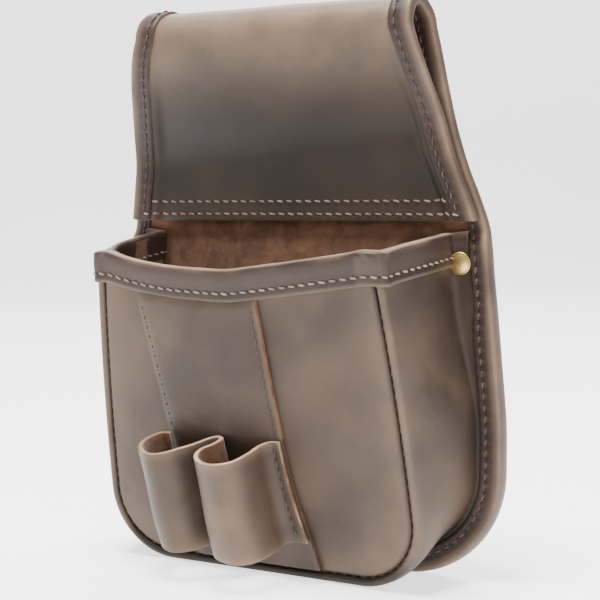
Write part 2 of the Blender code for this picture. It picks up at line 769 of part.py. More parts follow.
def build():
    """Builds every sub-part under one empty that centres the pouch on its base."""
    clear_scene()
    leather = material("leather", LEATHER)
    binding = material("binding_leather", BINDING)
    brass = material("brass", BRASS)
    thread = material("thread", THREAD)
    pouch = bpy.data.objects.new("pouch", None)
    bpy.context.scene.collection.objects.link(pouch)
    back = back_panel(leather, pouch)
    wall = gusset(leather, pouch)
    front_panel(leather, pouch)
    rim_binding(binding, pouch)
    edge_binding(binding, pouch)
    loop_backing(leather, pouch)
    tool_loop_strip(leather, pouch)
    rivets(brass, pouch)
    rivet_holes((back, wall), pouch)
    threads(thread, pouch)
    bodies = [o for o in pouch.children if not o.hide_render]
    depths = [v.co.y for o in bodies for v in o.data.vertices]
    lowest = min(v.co.z for o in bodies for v in o.data.vertices)
    pouch.location = (0.0, -0.5 * (min(depths) + max(depths)), -lowest)


build()
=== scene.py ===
"""Electrician's leather tool pouch: leather, stitching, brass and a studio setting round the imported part.

Lengths in the design classes are millimetres; meshes are written in metres in the part's own frame, with the
front of the pocket facing -Y, +X to the right and +Z up.
"""

from __future__ import annotations

import json
import logging
import math
from dataclasses import dataclass, field
from enum import Enum
from typing import Callable, Iterable, Optional, Sequence, TypeVar

import bmesh
import bpy
import numpy as np
from mathutils import Matrix, Vector, noise

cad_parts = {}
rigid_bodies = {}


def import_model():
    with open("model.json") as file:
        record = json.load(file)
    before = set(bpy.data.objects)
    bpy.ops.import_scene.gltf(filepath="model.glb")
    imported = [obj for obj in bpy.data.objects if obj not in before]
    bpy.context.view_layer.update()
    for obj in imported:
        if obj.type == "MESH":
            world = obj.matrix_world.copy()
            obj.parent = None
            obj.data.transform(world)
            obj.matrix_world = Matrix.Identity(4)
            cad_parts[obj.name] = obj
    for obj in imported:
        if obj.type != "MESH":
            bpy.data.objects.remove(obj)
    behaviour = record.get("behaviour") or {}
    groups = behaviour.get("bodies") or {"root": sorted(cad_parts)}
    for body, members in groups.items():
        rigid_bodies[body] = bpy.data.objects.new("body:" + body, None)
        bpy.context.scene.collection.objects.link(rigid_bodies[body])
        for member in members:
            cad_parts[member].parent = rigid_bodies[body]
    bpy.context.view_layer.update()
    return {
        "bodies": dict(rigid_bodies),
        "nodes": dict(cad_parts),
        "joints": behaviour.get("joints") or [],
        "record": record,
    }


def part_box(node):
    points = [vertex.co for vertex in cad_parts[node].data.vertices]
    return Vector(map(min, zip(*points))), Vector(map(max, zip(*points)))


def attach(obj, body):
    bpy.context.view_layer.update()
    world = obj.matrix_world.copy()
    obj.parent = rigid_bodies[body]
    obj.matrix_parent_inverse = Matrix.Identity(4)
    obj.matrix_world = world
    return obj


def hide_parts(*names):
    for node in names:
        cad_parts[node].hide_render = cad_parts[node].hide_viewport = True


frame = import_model()

LOG = logging.getLogger("tool_pouch")
MM = 0.001
Point = np.ndarray
Amount = TypeVar("Amount", float, np.ndarray)


# ---------------------------------------------------------------------------- small maths


def smoothstep(t: float) -> float:
    """Eases a number from 0 to 1."""
    t = min(1.0, max(0.0, t))
    return t * t * (3.0 - 2.0 * t)


def mix(a: Amount, b: Amount, t: float) -> Amount:
    """Blends two numbers or arrays."""
    return a + (b - a) * t


def bell(t: float) -> float:
    """A smooth bump, 1 at zero and nearly 0 beyond 2."""
    return math.exp(-t * t)


def vec(*values: float) -> Point:
    """A point or direction as an array."""
    return np.array(values, float)


def unit(v: Point) -> Point:
    """The direction of a vector."""
    return v / max(float(np.linalg.norm(v)), 1e-9)


def rough(x: float, y: float, z: float, scale: float) -> float:
    """Smooth noise between about -1 and 1 at a wavelength in millimetres."""
    return float(noise.noise(Vector((x, y, z)) / scale))


def smooth_curve(xs: Sequence[float], ys: Sequence[float], x: float) -> float:
    """Reads a smooth curve through the given points at x."""
    x = min(max(x, xs[0]), xs[-1])
    i = min(max(int(np.searchsorted(xs, x)) - 1, 0), len(xs) - 2)
    slopes = np.gradient(np.array(ys), np.array(xs))
    h = xs[i + 1] - xs[i]
    t = (x - xs[i]) / h
    a = (1.0 + 2.0 * t) * (1.0 - t) ** 2 * ys[i] + t * t * (3.0 - 2.0 * t) * ys[i + 1]
    return float(a + h * (t * (1.0 - t) ** 2 * slopes[i] - t * t * (1.0 - t) * slopes[i + 1]))


def smooth_path(points: Sequence[Sequence[float]], steps: int) -> list[Point]:
    """Runs a Catmull-Rom curve through points, with so many steps between neighbours."""
    pts = [np.array(p, float) for p in points]
    pts = [2.0 * pts[0] - pts[1]] + pts + [2.0 * pts[-1] - pts[-2]]
    path = []
    for i in range(1, len(pts) - 2):
        a, b, c, d = pts[i - 1 : i + 3]
        for k in range(steps):
            t = k / steps
            bend = (2 * a - 5 * b + 4 * c - d) * t**2 + (3 * b - a - 3 * c + d) * t**3
            path.append(0.5 * (2 * b + (c - a) * t + bend))
    path.append(pts[-2])
    return path


def lengths_along(points: Sequence[Point]) -> np.ndarray:
    """Running length at each point of a path."""
    steps = [float(np.linalg.norm(b - a)) for a, b in zip(points, points[1:])]
    return np.concatenate([[0.0], np.cumsum(steps)])


class Track:
    """A path of points with a few values at each, read at any length along it."""

    def __init__(self, rows: Sequence[Sequence[float]], measure: int = 3) -> None:
        """Args: rows: values at each point. measure: how many leading values make the position."""
        self.rows = np.array(rows, float)
        self.at = lengths_along([r[:measure] for r in self.rows])

    @property
    def length(self) -> float:
        """Whole length of the path."""
        return float(self.at[-1])

    def read(self, s: float) -> Point:
        """Values at a length along the path."""
        return np.array([np.interp(s, self.at, self.rows[:, k]) for k in range(self.rows.shape[1])])

    def spread(self, step: float) -> list[Point]:
        """Values at even steps along the path."""
        count = max(2, int(round(self.length / step)) + 1)
        return [self.read(s) for s in np.linspace(0.0, self.length, count)]


# ---------------------------------------------------------------------------- shader graph


class Socket:
    """A shader socket that can be used in arithmetic."""

    def __init__(self, graph: "Graph", out: bpy.types.NodeSocket) -> None:
        """Args: graph: the owner. out: the wrapped output."""
        self.graph = graph
        self.out = out

    def _math(self, operation: str, *values: object) -> "Socket":
        """A maths node with its inputs set or linked."""
        sockets = dict(enumerate(values))
        return self.graph.node("ShaderNodeMath", {"operation": operation}, sockets)

    def __add__(self, other: object) -> "Socket":
        """Sum."""
        return self._math("ADD", self, other)

    __radd__ = __add__

    def __sub__(self, other: object) -> "Socket":
        """Difference."""
        return self._math("SUBTRACT", self, other)

    def __rsub__(self, other: object) -> "Socket":
        """Difference from the left."""
        return self._math("SUBTRACT", other, self)

    def __mul__(self, other: object) -> "Socket":
        """Product."""
        return self._math("MULTIPLY", self, other)

    __rmul__ = __mul__

    def __truediv__(self, other: object) -> "Socket":
        """Quotient."""
        return self._math("DIVIDE", self, other)

    def clamp(self) -> "Socket":
        """Limited to 0..1."""
        return self.graph.node("ShaderNodeClamp", {}, {0: self})

    def band(self, low: float, high: float) -> "Socket":
        """0 below low, 1 above high, smooth between."""
        sockets = {"Value": self, "From Min": low, "From Max": high}
        return self.graph.node("ShaderNodeMapRange", {"interpolation_type": "SMOOTHSTEP"}, sockets)


class Graph:
    """A material's node tree built through one method."""

    def __init__(self, name: str) -> None:
        """Args: name: the material's name."""
        self.material = bpy.data.materials.new(name)
        self.material.use_nodes = True
        self.tree = self.material.node_tree
        self.shader = self.tree.nodes["Principled BSDF"]
        coords = self.tree.nodes.new("ShaderNodeTexCoord")
        self.place = Socket(self, coords.outputs["Object"])

    def node(
        self, kind: str, settings: dict, sockets: dict, output: int | str = 0
    ) -> Socket:
        """Adds a node.

        Args:
            kind: the node's type name.
            settings: its properties.
            sockets: input values or links by name or index.
            output: which output to return.

        Returns:
            The chosen output.
        """
        made = self.tree.nodes.new(kind)
        for key, value in settings.items():
            setattr(made, key, value)
        for key, value in sockets.items():
            self.link(value, made.inputs[key])
        return Socket(self, made.outputs[output])

    def link(self, value: object, target: bpy.types.NodeSocket) -> None:
        """Links a socket to an input, or sets the input's value."""
        if isinstance(value, Socket):
            self.tree.links.new(value.out, target)
        else:
            target.default_value = value

    def colours(self, factor: object, a: object, b: object) -> Socket:
        """Blends two colours."""
        made = self.tree.nodes.new("ShaderNodeMix")
        made.data_type = "RGBA"
        for value, index in ((factor, 0), (a, 6), (b, 7)):
            if not isinstance(value, Socket) and index > 0:
                value = (*value, 1.0) if len(value) == 3 else value
            self.link(value, made.inputs[index])
        return Socket(self, made.outputs[2])

    def noise(self, scale: float, detail: float = 4.0, rough_by: float = 0.55, warp: float = 0.0) -> Socket:
        """Noise in object space; scale is per metre."""
        sockets = {
            "Vector": self.place, "Scale": scale, "Detail": detail, "Roughness": rough_by, "Distortion": warp,
        }
        return self.node("ShaderNodeTexNoise", {}, sockets)

    def cells(self, scale: float, feature: str, detail: float) -> Socket:
        """Cell pattern in object space; scale is per metre."""
        sockets = {"Vector": self.place, "Scale": scale, "Detail": detail}
        return self.node("ShaderNodeTexVoronoi", {"feature": feature}, sockets, "Distance")

    def attribute(self, name: str) -> Socket:
        """A value painted on the mesh."""
        return self.node("ShaderNodeAttribute", {"attribute_name": name}, {}, "Fac")

    def bump(
        self, height: Socket, distance: float, strength: float, base: Optional[Socket] = None
    ) -> Socket:
        """A bump from a height; distance in metres."""
        sockets: dict = {"Height": height, "Distance": distance, "Strength": strength}
        if base is not None:
            sockets["Normal"] = base
        return self.node("ShaderNodeBump", {}, sockets)

    def finish(self, **values: object) -> bpy.types.Material:
        """Sets the shader's inputs (underscores stand for spaces) and returns the material."""
        for key, value in values.items():
            if isinstance(value, tuple) and len(value) == 3:
                value = (*value, 1.0)
            self.link(value, self.shader.inputs[key.replace("_", " ")])
        return self.material


Colour = tuple[float, float, float]


@dataclass(frozen=True)
class LeatherFinish:
    """Oiled grain leather with pores, creases, clouding, paler worn places and painted highlights, and
    painted shade.
    """

    name: str
    dark: Colour
    mid: Colour
    pale: Colour
    warm: Colour
    roughness: float = 0.47
    grain: float = 0.00010
    coat: float = 0.05

    def build(self) -> bpy.types.Material:
        """The material. One mesh attribute makes it paler, for worn places and painted highlights; 'shade'
        makes it darker as painted shade.
        """
        g = Graph(self.name)
        cloud = g.noise(13.0, 2.0, 0.55, 0.3).band(0.34, 0.68)
        mottle = g.noise(48.0, 4.0, 0.6).band(0.30, 0.72)
        fine = g.noise(1100.0, 3.0, 0.6)
        pores = g.cells(1700.0, "F1", 1.0)
        creases = g.cells(760.0, "DISTANCE_TO_EDGE", 2.0)
        rust = g.noise(26.0, 3.0, 0.6, 0.5).band(0.50, 0.80)
        wear_and_highlight = g.attribute("wear_and_highlight")
        shade = g.attribute("shade")
        base = g.colours((cloud * 0.72 + mottle * 0.22).clamp(), self.dark, self.mid)
        base = g.colours((rust * 0.55).clamp(), base, self.warm)
        # Paler for worn places and painted highlights, then darker for painted shade.
        base = g.colours((wear_and_highlight * (0.62 + mottle * 0.38)).clamp(), base, self.pale)
        base = g.colours((fine.band(0.58, 0.80) * 0.10).clamp(), base, self.pale)
        base = g.colours((shade * 0.8).clamp(), base, tuple(0.30 * c for c in self.dark))
        pits = (1.0 - pores.band(0.0, 0.42)) * 0.5
        lines = creases.band(0.0, 0.10)
        height = fine * 0.35 + lines * 0.42 - pits * 0.45
        wide = g.noise(110.0, 2.0, 0.5)
        normal = g.bump(wide, 0.0006, 0.30)
        normal = g.bump(height, self.grain, 0.6, normal)
        gloss = self.roughness + mottle * 0.10 - wear_and_highlight * 0.08 + (fine - 0.5) * 0.16
        return g.finish(
            Base_Color=base, Roughness=gloss, Normal=normal, Specular_IOR_Level=0.26,
            Coat_Weight=self.coat, Coat_Roughness=0.42, IOR=1.46,
        )


@dataclass(frozen=True)
class SuedeFinish:
    """The napped flesh side of the leather."""

    name: str
    dark: Colour
    pale: Colour

    def build(self) -> bpy.types.Material:
        """The material."""
        g = Graph(self.name)
        nap = g.noise(420.0, 6.0, 0.75, 0.6)
        streak = g.noise(60.0, 5.0, 0.7, 0.8).band(0.3, 0.72)
        fuzz = g.noise(2600.0, 3.0, 0.7)
        tone = (streak * 0.55 + nap * 0.6 - 0.1).clamp()
        base = g.colours(tone, self.dark, self.pale)
        base = g.colours((g.attribute("shade") * 0.85).clamp(), base, tuple(0.3 * c for c in self.dark))
        normal = g.bump(nap * 0.7 + fuzz * 0.3, 0.00035, 0.8)
        return g.finish(
            Base_Color=base, Roughness=0.93, Normal=normal, Specular_IOR_Level=0.2,
            Sheen_Weight=0.25, Sheen_Roughness=0.5,
        )


@dataclass(frozen=True)
class RawEdgeFinish:
    """Cut leather edge: packed fibres between a darker grain line and flesh."""

    name: str
    dark: Colour
    pale: Colour

    def build(self) -> bpy.types.Material:
        """The material."""
        g = Graph(self.name)
        fibre = g.noise(1400.0, 5.0, 0.7, 0.8)
        stain = g.noise(110.0, 4.0, 0.6).band(0.34, 0.66)
        tone = fibre * 0.6 + stain * 0.5 - 0.05 + g.attribute("wear_and_highlight") * 0.5 - g.attribute("shade") * 0.9
        base = g.colours(tone.clamp(), self.dark, self.pale)
        normal = g.bump(fibre, 0.00025, 0.8)
        return g.finish(Base_Color=base, Roughness=0.78, Normal=normal, Specular_IOR_Level=0.3)


@dataclass(frozen=True)
class ThreadFinish:
    """Waxed twisted thread."""

    name: str
    dark: Colour
    pale: Colour

    def build(self) -> bpy.types.Material:
        """The material. Mesh attribute 'twist' carries the strands."""
        g = Graph(self.name)
        twist = g.attribute("twist")
        strand = g.node("ShaderNodeMath", {"operation": "SINE"}, {0: twist * 6.2832})
        ply = (strand * 0.5 + 0.5).clamp()
        tint = g.noise(160.0, 3.0, 0.6).band(0.3, 0.7)
        base = g.colours((ply * 0.6 + tint * 0.45).clamp(), self.dark, self.pale)
        normal = g.bump(ply + g.noise(4200.0, 2.0) * 0.5, 0.00016, 0.8)
        return g.finish(Base_Color=base, Roughness=0.66, Normal=normal, Specular_IOR_Level=0.4)


@dataclass(frozen=True)
class BrassFinish:
    """Polished brass with fine scratches and a little tarnish."""

    name: str
    bright: Colour
    dull: Colour

    def build(self) -> bpy.types.Material:
        """The material."""
        g = Graph(self.name)
        tarnish = g.noise(300.0, 4.0, 0.6).band(0.35, 0.75)
        brushed = g.node("ShaderNodeMapping", {}, {"Vector": g.place, "Scale": (900.0, 900.0, 5200.0)})
        scratch = g.node("ShaderNodeTexNoise", {}, {"Vector": brushed, "Scale": 1.0, "Detail": 3.0})
        base = g.colours((tarnish * 0.7 + g.attribute("shade") * 0.6).clamp(), self.bright, self.dull)
        normal = g.bump(scratch + g.noise(900.0, 2.0) * 0.6, 0.00004, 0.5)
        return g.finish(Base_Color=base, Metallic=1.0, Roughness=0.26 + tarnish * 0.2, Normal=normal)


class Slot(Enum):
    """The part's material slots."""

    LEATHER = "leather"
    BINDING = "binding_leather"
    BRASS = "brass"
    THREAD = "thread"


@dataclass
class Palette:
    """Every finish of the pouch."""

    grain: bpy.types.Material = field(init=False)
    suede: bpy.types.Material = field(init=False)
    edge: bpy.types.Material = field(init=False)
    tan_edge: bpy.types.Material = field(init=False)
    binding: bpy.types.Material = field(init=False)
    binding_edge: bpy.types.Material = field(init=False)
    brass: bpy.types.Material = field(init=False)
    thread: bpy.types.Material = field(init=False)
    shaded_thread: bpy.types.Material = field(init=False)
    hole: bpy.types.Material = field(init=False)

    def __post_init__(self) -> None:
        """Builds the materials."""
        self.grain = LeatherFinish(
            "grain_leather", (0.027, 0.0175, 0.0125), (0.076, 0.0490, 0.0315), (0.240, 0.160, 0.104),
            (0.088, 0.046, 0.029),
        ).build()
        self.binding = LeatherFinish(
            "binding_leather", (0.019, 0.0115, 0.0098), (0.040, 0.0240, 0.0190), (0.330, 0.225, 0.150),
            (0.048, 0.025, 0.019), 0.44, 0.00008, 0.03,
        ).build()
        self.suede = SuedeFinish("flesh_side", (0.050, 0.0200, 0.0105), (0.235, 0.110, 0.056)).build()
        self.edge = RawEdgeFinish("cut_edge", (0.045, 0.022, 0.013), (0.20, 0.100, 0.052)).build()
        self.tan_edge = RawEdgeFinish("loop_edge", (0.12, 0.056, 0.030), (0.46, 0.285, 0.170)).build()
        self.binding_edge = RawEdgeFinish("binding_edge", (0.045, 0.027, 0.020), (0.14, 0.085, 0.058)).build()
        self.brass = BrassFinish("brass", (0.88, 0.66, 0.26), (0.46, 0.31, 0.10)).build()
        self.thread = ThreadFinish("waxed_thread", (0.080, 0.048, 0.034), (0.33, 0.225, 0.160)).build()
        # A darker copy of the waxed thread: painted shade for stitch rows sunk into the leather.
        self.shaded_thread = ThreadFinish("shaded_thread", (0.030, 0.016, 0.012), (0.105, 0.060, 0.042)).build()
        # Near-black finish for the pricked holes: painted shade for the holes' depth.
        self.hole = RawEdgeFinish("pricked_hole_shade", (0.010, 0.007, 0.006), (0.026, 0.017, 0.013)).build()


# ---------------------------------------------------------------------------- mesh helpers


@dataclass
class Look:
    """What a mapped grid point carries besides its place."""

    # Paler: worn places and painted highlights.
    wear_and_highlight: float = 0.0
    shade: float = 0.0


Mapper = Callable[[float, float, float], tuple[Point, Look]]


class Workshop:
    """Turns mapped grids into pieces riding on the part."""

    def __init__(self, offset: Point) -> None:
        """Args: offset: shift from the design to the part's frame, in millimetres."""
        self.offset = offset
        self.made: list[str] = []

    def store(
        self,
        name: str,
        bm: bmesh.types.BMesh,
        materials: Sequence[bpy.types.Material],
        nodes: Sequence[str],
        sharp: float = 50.0,
    ) -> bpy.types.Object:
        """Makes the finished piece.

        Args:
            name: the piece's name.
            bm: its mesh, in design millimetres.
            materials: one for each material index.
            nodes: the solids it stands for.
            sharp: angle above which edges stay sharp, in degrees.

        Returns:
            The object.
        """
        bmesh.ops.recalc_face_normals(bm, faces=bm.faces)
        bmesh.ops.translate(bm, verts=bm.verts, vec=Vector(self.offset))
        bmesh.ops.scale(bm, verts=bm.verts, vec=(MM, MM, MM))
        mesh = bpy.data.meshes.new(name)
        bm.to_mesh(mesh)
        bm.free()
        mesh.shade_smooth()
        mesh.set_sharp_from_angle(angle=math.radians(sharp))
        for mat in materials:
            mesh.materials.append(mat)
        obj = bpy.data.objects.new(name, mesh)
        bpy.context.scene.collection.objects.link(obj)
        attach(obj, "root")
        if nodes:
            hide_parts(*nodes)
        self.made.append(name)
        return obj

    def sheet(
        self,
        name: str,
        columns: Sequence[float],
        rows: Sequence[float],
        mapper: Mapper,
        materials: Sequence[bpy.types.Material],
        nodes: Sequence[str],
        bevel: float = 0.4,
        weld: bool = False,
    ) -> bpy.types.Object:
        """A sheet with two faces: a grid given thickness, rounded at its cut edge and bent into place.

        Args:
            name: the piece's name.
            columns: values across the grid.
            rows: values along the grid.
            mapper: turns (column, row, side) into a point and its look, where side is 0 on the flesh side
                and 1 on the grain.
            materials: grain, flesh and cut edge.
            nodes: the solids it stands for.
            bevel: rounding of the cut edge in millimetres.
            weld: join points that meet, where the sheet closes on itself.

        Returns:
            The object.
        """
        bm = bmesh.new()
        nx, ny = len(columns) - 1, len(rows) - 1
        bmesh.ops.create_grid(bm, x_segments=nx, y_segments=ny, size=0.5)
        low_faces = list(bm.faces)
        grown = bmesh.ops.extrude_face_region(bm, geom=low_faces, use_keep_orig=True)
        lifted = [e for e in grown["geom"] if isinstance(e, bmesh.types.BMVert)]
        bmesh.ops.translate(bm, verts=lifted, vec=(0.0, 0.0, 1.0))
        wear_and_highlight = bm.verts.layers.float.new("wear_and_highlight")
        shade = bm.verts.layers.float.new("shade")
        for face in bm.faces:
            heights = [v.co.z for v in face.verts]
            face.material_index = 0 if min(heights) > 0.5 else 1 if max(heights) < 0.5 else 2
        for v in bm.verts:
            column = columns[int(round((v.co.x + 0.5) * nx))]
            row = rows[int(round((v.co.y + 0.5) * ny))]
            place, look = mapper(column, row, v.co.z)
            v.co = Vector(place)
            v[wear_and_highlight] = look.wear_and_highlight
            v[shade] = look.shade
        if weld:
            inner = [
                f for f in bm.faces if f.material_index == 2 and all(abs(v.co.x) < 1e-3 for v in f.verts)
            ]
            bmesh.ops.delete(bm, geom=inner, context="FACES")
            bmesh.ops.remove_doubles(bm, verts=bm.verts, dist=1e-4)
        bmesh.ops.recalc_face_normals(bm, faces=bm.faces)
        if bevel > 0.0:
            rim = [
                e for e in bm.edges
                if len(e.link_faces) == 2 and {f.material_index == 2 for f in e.link_faces} == {True, False}
            ]
            bmesh.ops.bevel(
                bm, geom=rim, offset=bevel, offset_type="OFFSET", affect="EDGES", segments=2, profile=0.5,
                material=-1, clamp_overlap=True,
            )
        return self.store(name, bm, materials, nodes)

    def tube(
        self,
        name: str,
        rings: Sequence[Sequence[Point]],
        looks: Sequence[Sequence[Look]],
        materials: Sequence[bpy.types.Material],
        nodes: Sequence[str],
        edge_columns: Iterable[int] = (),
        sharp: float = 50.0,
    ) -> bpy.types.Object:
        """A closed section swept through rings of points, with capped ends.

        Args:
            name: the piece's name.
            rings: the section's points at each station.
            looks: what each of those points carries.
            materials: face and cut edge.
            nodes: the solids it stands for.
            edge_columns: sides of the section that are cut edges.
            sharp: angle above which edges stay sharp, in degrees.

        Returns:
            The object.
        """
        bm = bmesh.new()
        across, along = len(rings[0]), len(rings) - 1
        bmesh.ops.create_grid(bm, x_segments=across, y_segments=along, size=0.5)
        wear_and_highlight = bm.verts.layers.float.new("wear_and_highlight")
        shade = bm.verts.layers.float.new("shade")
        cut = set(edge_columns)
        for face in bm.faces:
            middle = face.calc_center_median()
            face.material_index = 1 if int((middle.x + 0.5) * across) in cut else 0
        for v in bm.verts:
            i = int(round((v.co.x + 0.5) * across)) % across
            j = int(round((v.co.y + 0.5) * along))
            v.co = Vector(rings[j][i])
            v[wear_and_highlight] = looks[j][i].wear_and_highlight
            v[shade] = looks[j][i].shade
        bmesh.ops.remove_doubles(bm, verts=bm.verts, dist=1e-5)
        open_edges = [e for e in bm.edges if len(e.link_faces) == 1]
        caps = bmesh.ops.holes_fill(bm, edges=open_edges, sides=0)
        for face in caps["faces"]:
            face.material_index = 1 if cut else 0
        return self.store(name, bm, materials, nodes, sharp)


# ---------------------------------------------------------------------------- the design


@dataclass(frozen=True)
class PanelPattern:
    """Flat pattern of the back panel and belt flap, and how it folds over the belt."""

    thickness: float = 2.8
    corner_radius: float = 48.5
    corner_x: float = 54.8
    corner_z: float = 50.2
    heights: tuple[float, ...] = (50.2, 70.0, 100.0, 135.0, 160.0, 172.0, 184.0, 200.0, 218.0, 240.0, 250.0)
    right: tuple[float, ...] = (103.3, 103.3, 101.0, 97.8, 94.9, 90.7, 85.7, 80.5, 76.1, 71.4, 69.0)
    left: tuple[float, ...] = (103.3, 103.3, 101.0, 97.8, 94.9, 93.6, 92.4, 90.2, 85.2, 77.8, 74.4)
    fold_start: float = 248.0
    fold_radius: float = 10.0
    waist_right: float = 67.0
    waist_left: float = 71.5
    flap_bottom: float = 161.5
    flap_inset: float = 2.0
    depth: float = 20.0
    skew: float = 4.0
    contact: float = 192.0
    contact_skew: float = 8.0
    reference: float = 80.0

    @property
    def flap_start(self) -> float:
        """Length along the sheet where the fold ends."""
        return self.fold_start + math.pi * self.fold_radius

    @property
    def end(self) -> float:
        """Length along the sheet of the flap's bottom edge."""
        return self.flap_start + self.fold_start - self.flap_bottom

    def half_width(self, side: int, s: float) -> float:
        """Half width at a length along the sheet; side is -1 or 1."""
        table = self.right if side > 0 else self.left
        waist = self.waist_right if side > 0 else self.waist_left
        if s < self.corner_z:
            drop = min(self.corner_radius, self.corner_z - s)
            return self.corner_x + math.sqrt(self.corner_radius**2 - drop**2)
        if s <= self.fold_start:
            return smooth_curve(self.heights, table, s)
        if s < self.flap_start:
            t = (s - self.fold_start) / (self.flap_start - self.fold_start)
            base = smooth_curve(self.heights, table, self.fold_start) - self.flap_inset * smoothstep(t)
            return mix(base, waist, math.sin(math.pi * t) ** 2)
        return smooth_curve(self.heights, table, self.fold_start - (s - self.flap_start)) - self.flap_inset

    def flap_depth(self, u: float, z: float) -> float:
        """Distance of the flap's flesh side in front of the back panel's at a height."""
        side = 1 if u > 0 else -1
        edge = self.half_width(side, self.flap_start + self.fold_start - z)
        gap = mix(0.5, 3.3, smoothstep((abs(u) - (edge - 16.0)) / 5.0))
        deep = self.depth - self.skew * u / self.reference
        low = self.contact + self.contact_skew * u / self.reference
        return mix(gap, deep, smoothstep((z - low) / (self.fold_start - low)))

    def wave(self, u: float, s: float) -> float:
        """Slow unevenness of the sheet out of its plane."""
        free = smoothstep((s - 150.0) / 40.0) * smoothstep((self.end - 8.0 - s) / 25.0)
        return free * (0.55 * rough(u, s, 3.0, 46.0) + 0.22 * rough(u, s, 9.0, 19.0))

    def place(self, u: float, s: float, n: float) -> Point:
        """Puts a point of the flat pattern in space: u across, s along, n out from the flesh side."""
        if s <= self.fold_start:
            return vec(u, n, s)
        if s < self.flap_start:
            reach = 0.5 * self.flap_depth(u, self.fold_start)
            a = (s - self.fold_start) / self.fold_radius
            normal = unit(vec(0.0, math.cos(a) / reach, math.sin(a) / self.fold_radius))
            foot = vec(u, reach * (math.cos(a) - 1.0), self.fold_start + self.fold_radius * math.sin(a))
            return foot + normal * n
        z = self.fold_start - (s - self.flap_start)
        slope = self.flap_depth(u, z + 0.5) - self.flap_depth(u, z - 0.5)
        slope *= smoothstep((self.fold_start - z) / 6.0)
        length = math.hypot(1.0, slope)
        return vec(u, -self.flap_depth(u, z) - n / length, z + n * slope / length)

    def outline(self, step: float) -> list[Point]:
        """The bound edge as (u, s, inward u, inward s), from the flap's left corner to its right one."""
        lengths = list(np.arange(self.corner_z, self.end, 2.0)) + [self.end - 0.3]

        def half(side: int) -> list[tuple]:
            """One side, from the flap down to the middle of the bottom."""
            rows = [(side * self.half_width(side, s), s, -1.0 * side, 0.0) for s in lengths[::-1]]
            for degrees in range(3, 91, 3):
                x, z = math.cos(math.radians(degrees)), math.sin(math.radians(degrees))
                u = side * (self.corner_x + self.corner_radius * x)
                rows.append((u, self.corner_z - self.corner_radius * z, -side * x, z))
            return rows

        return Track(half(-1) + half(1)[::-1], 2).spread(step)


@dataclass(frozen=True)
class PocketPattern:
    """Shape of the pocket: front seam, lean, rim and the way the gusset meets the back panel."""

    panel: PanelPattern
    corner_radius: float = 28.0
    corner_x: float = 51.3
    corner_z: float = 33.0
    seam_top: float = 79.3
    taper: float = 0.035
    curve: float = 0.0004
    lean_base: float = 36.0
    lean_slope: float = 0.168
    crown: float = 3.0
    rim_left: float = 147.0
    rim_right: float = 149.0
    rim_centre: float = 140.0
    rim_back: float = 156.5
    spine_low: float = 50.0

    def half(self, z: float) -> float:
        """Half width of the front seam at a height."""
        d = z - self.corner_z
        return self.seam_top - self.taper * d - self.curve * d * d

    def lean(self, z: float) -> float:
        """Front position of the seam at a height."""
        return -self.lean_base - self.lean_slope * z

    def front(self, x: float, z: float) -> float:
        """Front face of the front panel."""
        half = self.half(max(z, self.corner_z)) - 3.0
        across = max(0.0, 1.0 - (x / half) ** 2)
        swell = 0.35 * rough(x, 0.0, z, 34.0) * across
        return self.lean(z) - self.crown * across * smoothstep(z / 40.0) - swell

    def rim(self, side: int) -> float:
        """Height of the front corner of the rim."""
        return self.rim_right if side > 0 else self.rim_left

    def station(self, side: int, t: float) -> tuple[Point, Point, Point]:
        """Front seam point, panel outline point and outward direction.

        Args:
            side: -1 or 1.
            t: 0 at the rim, 1 at the corner's start, 2 at its end, 3 in the middle of the bottom.

        Returns:
            Points and direction as (x, z).
        """
        p = self.panel
        if t > 2.0:
            f = 3.0 - t
            front = vec(side * self.corner_x * f, self.corner_z - self.corner_radius)
            return front, vec(side * p.corner_x * f, p.corner_z - p.corner_radius), vec(0.0, -1.0)
        if t > 1.0:
            a = 0.5 * math.pi * (t - 1.0)
            out = vec(side * math.cos(a), -math.sin(a))
            front = vec(side * self.corner_x, self.corner_z) + self.corner_radius * out
            return front, vec(side * p.corner_x, p.corner_z) + p.corner_radius * out, out
        zf = mix(self.rim(side), self.corner_z, t)
        zb = mix(self.rim_back, p.corner_z, t)
        slope = 0.125 * (self.half(zf - 4.0) - self.half(zf + 4.0)) * (1.0 - smoothstep((t - 0.8) / 0.2))
        back = vec(side * p.half_width(side, zb), zb)
        return vec(side * self.half(zf), zf), back, unit(vec(side * 1.0, slope))

    def dip(self, side: float, f: float) -> float:
        """How far the rim has dropped from a front corner to its middle, both as shares."""
        return 1.0 - (1.0 - f) ** (1.1 if side > 0 else 2.6)

    def rim_share(self, z: float) -> float:
        """1 at the rim and 0 well below it."""
        return smoothstep((z - 112.0) / 14.0)

    def parameters(self, fine: int) -> list[float]:
        """Station values from the left rim (negative) round to the right rim."""
        half = list(np.linspace(0.0, 1.0, 5 * fine, endpoint=False))
        half += list(np.linspace(1.0, 2.0, 2 * fine, endpoint=False))
        half += list(np.linspace(2.0, 3.0, 2 * fine, endpoint=False))
        return [-4.0 + t for t in half] + [0.0] + [4.0 - t for t in half[::-1]]

    def at(self, q: float) -> tuple[Point, Point, Point]:
        """Station at a value from parameters()."""
        if q == 0.0:
            return self.station(1, 3.0)
        return self.station(1 if q > 0 else -1, 4.0 - q if q > 0 else q + 4.0)


# ---------------------------------------------------------------------------- leather pieces


def evenly(low: float, high: float, step: float) -> list[float]:
    """Even values from low to high about a step apart."""
    return list(np.linspace(low, high, max(2, int(math.ceil((high - low) / step)) + 1)))


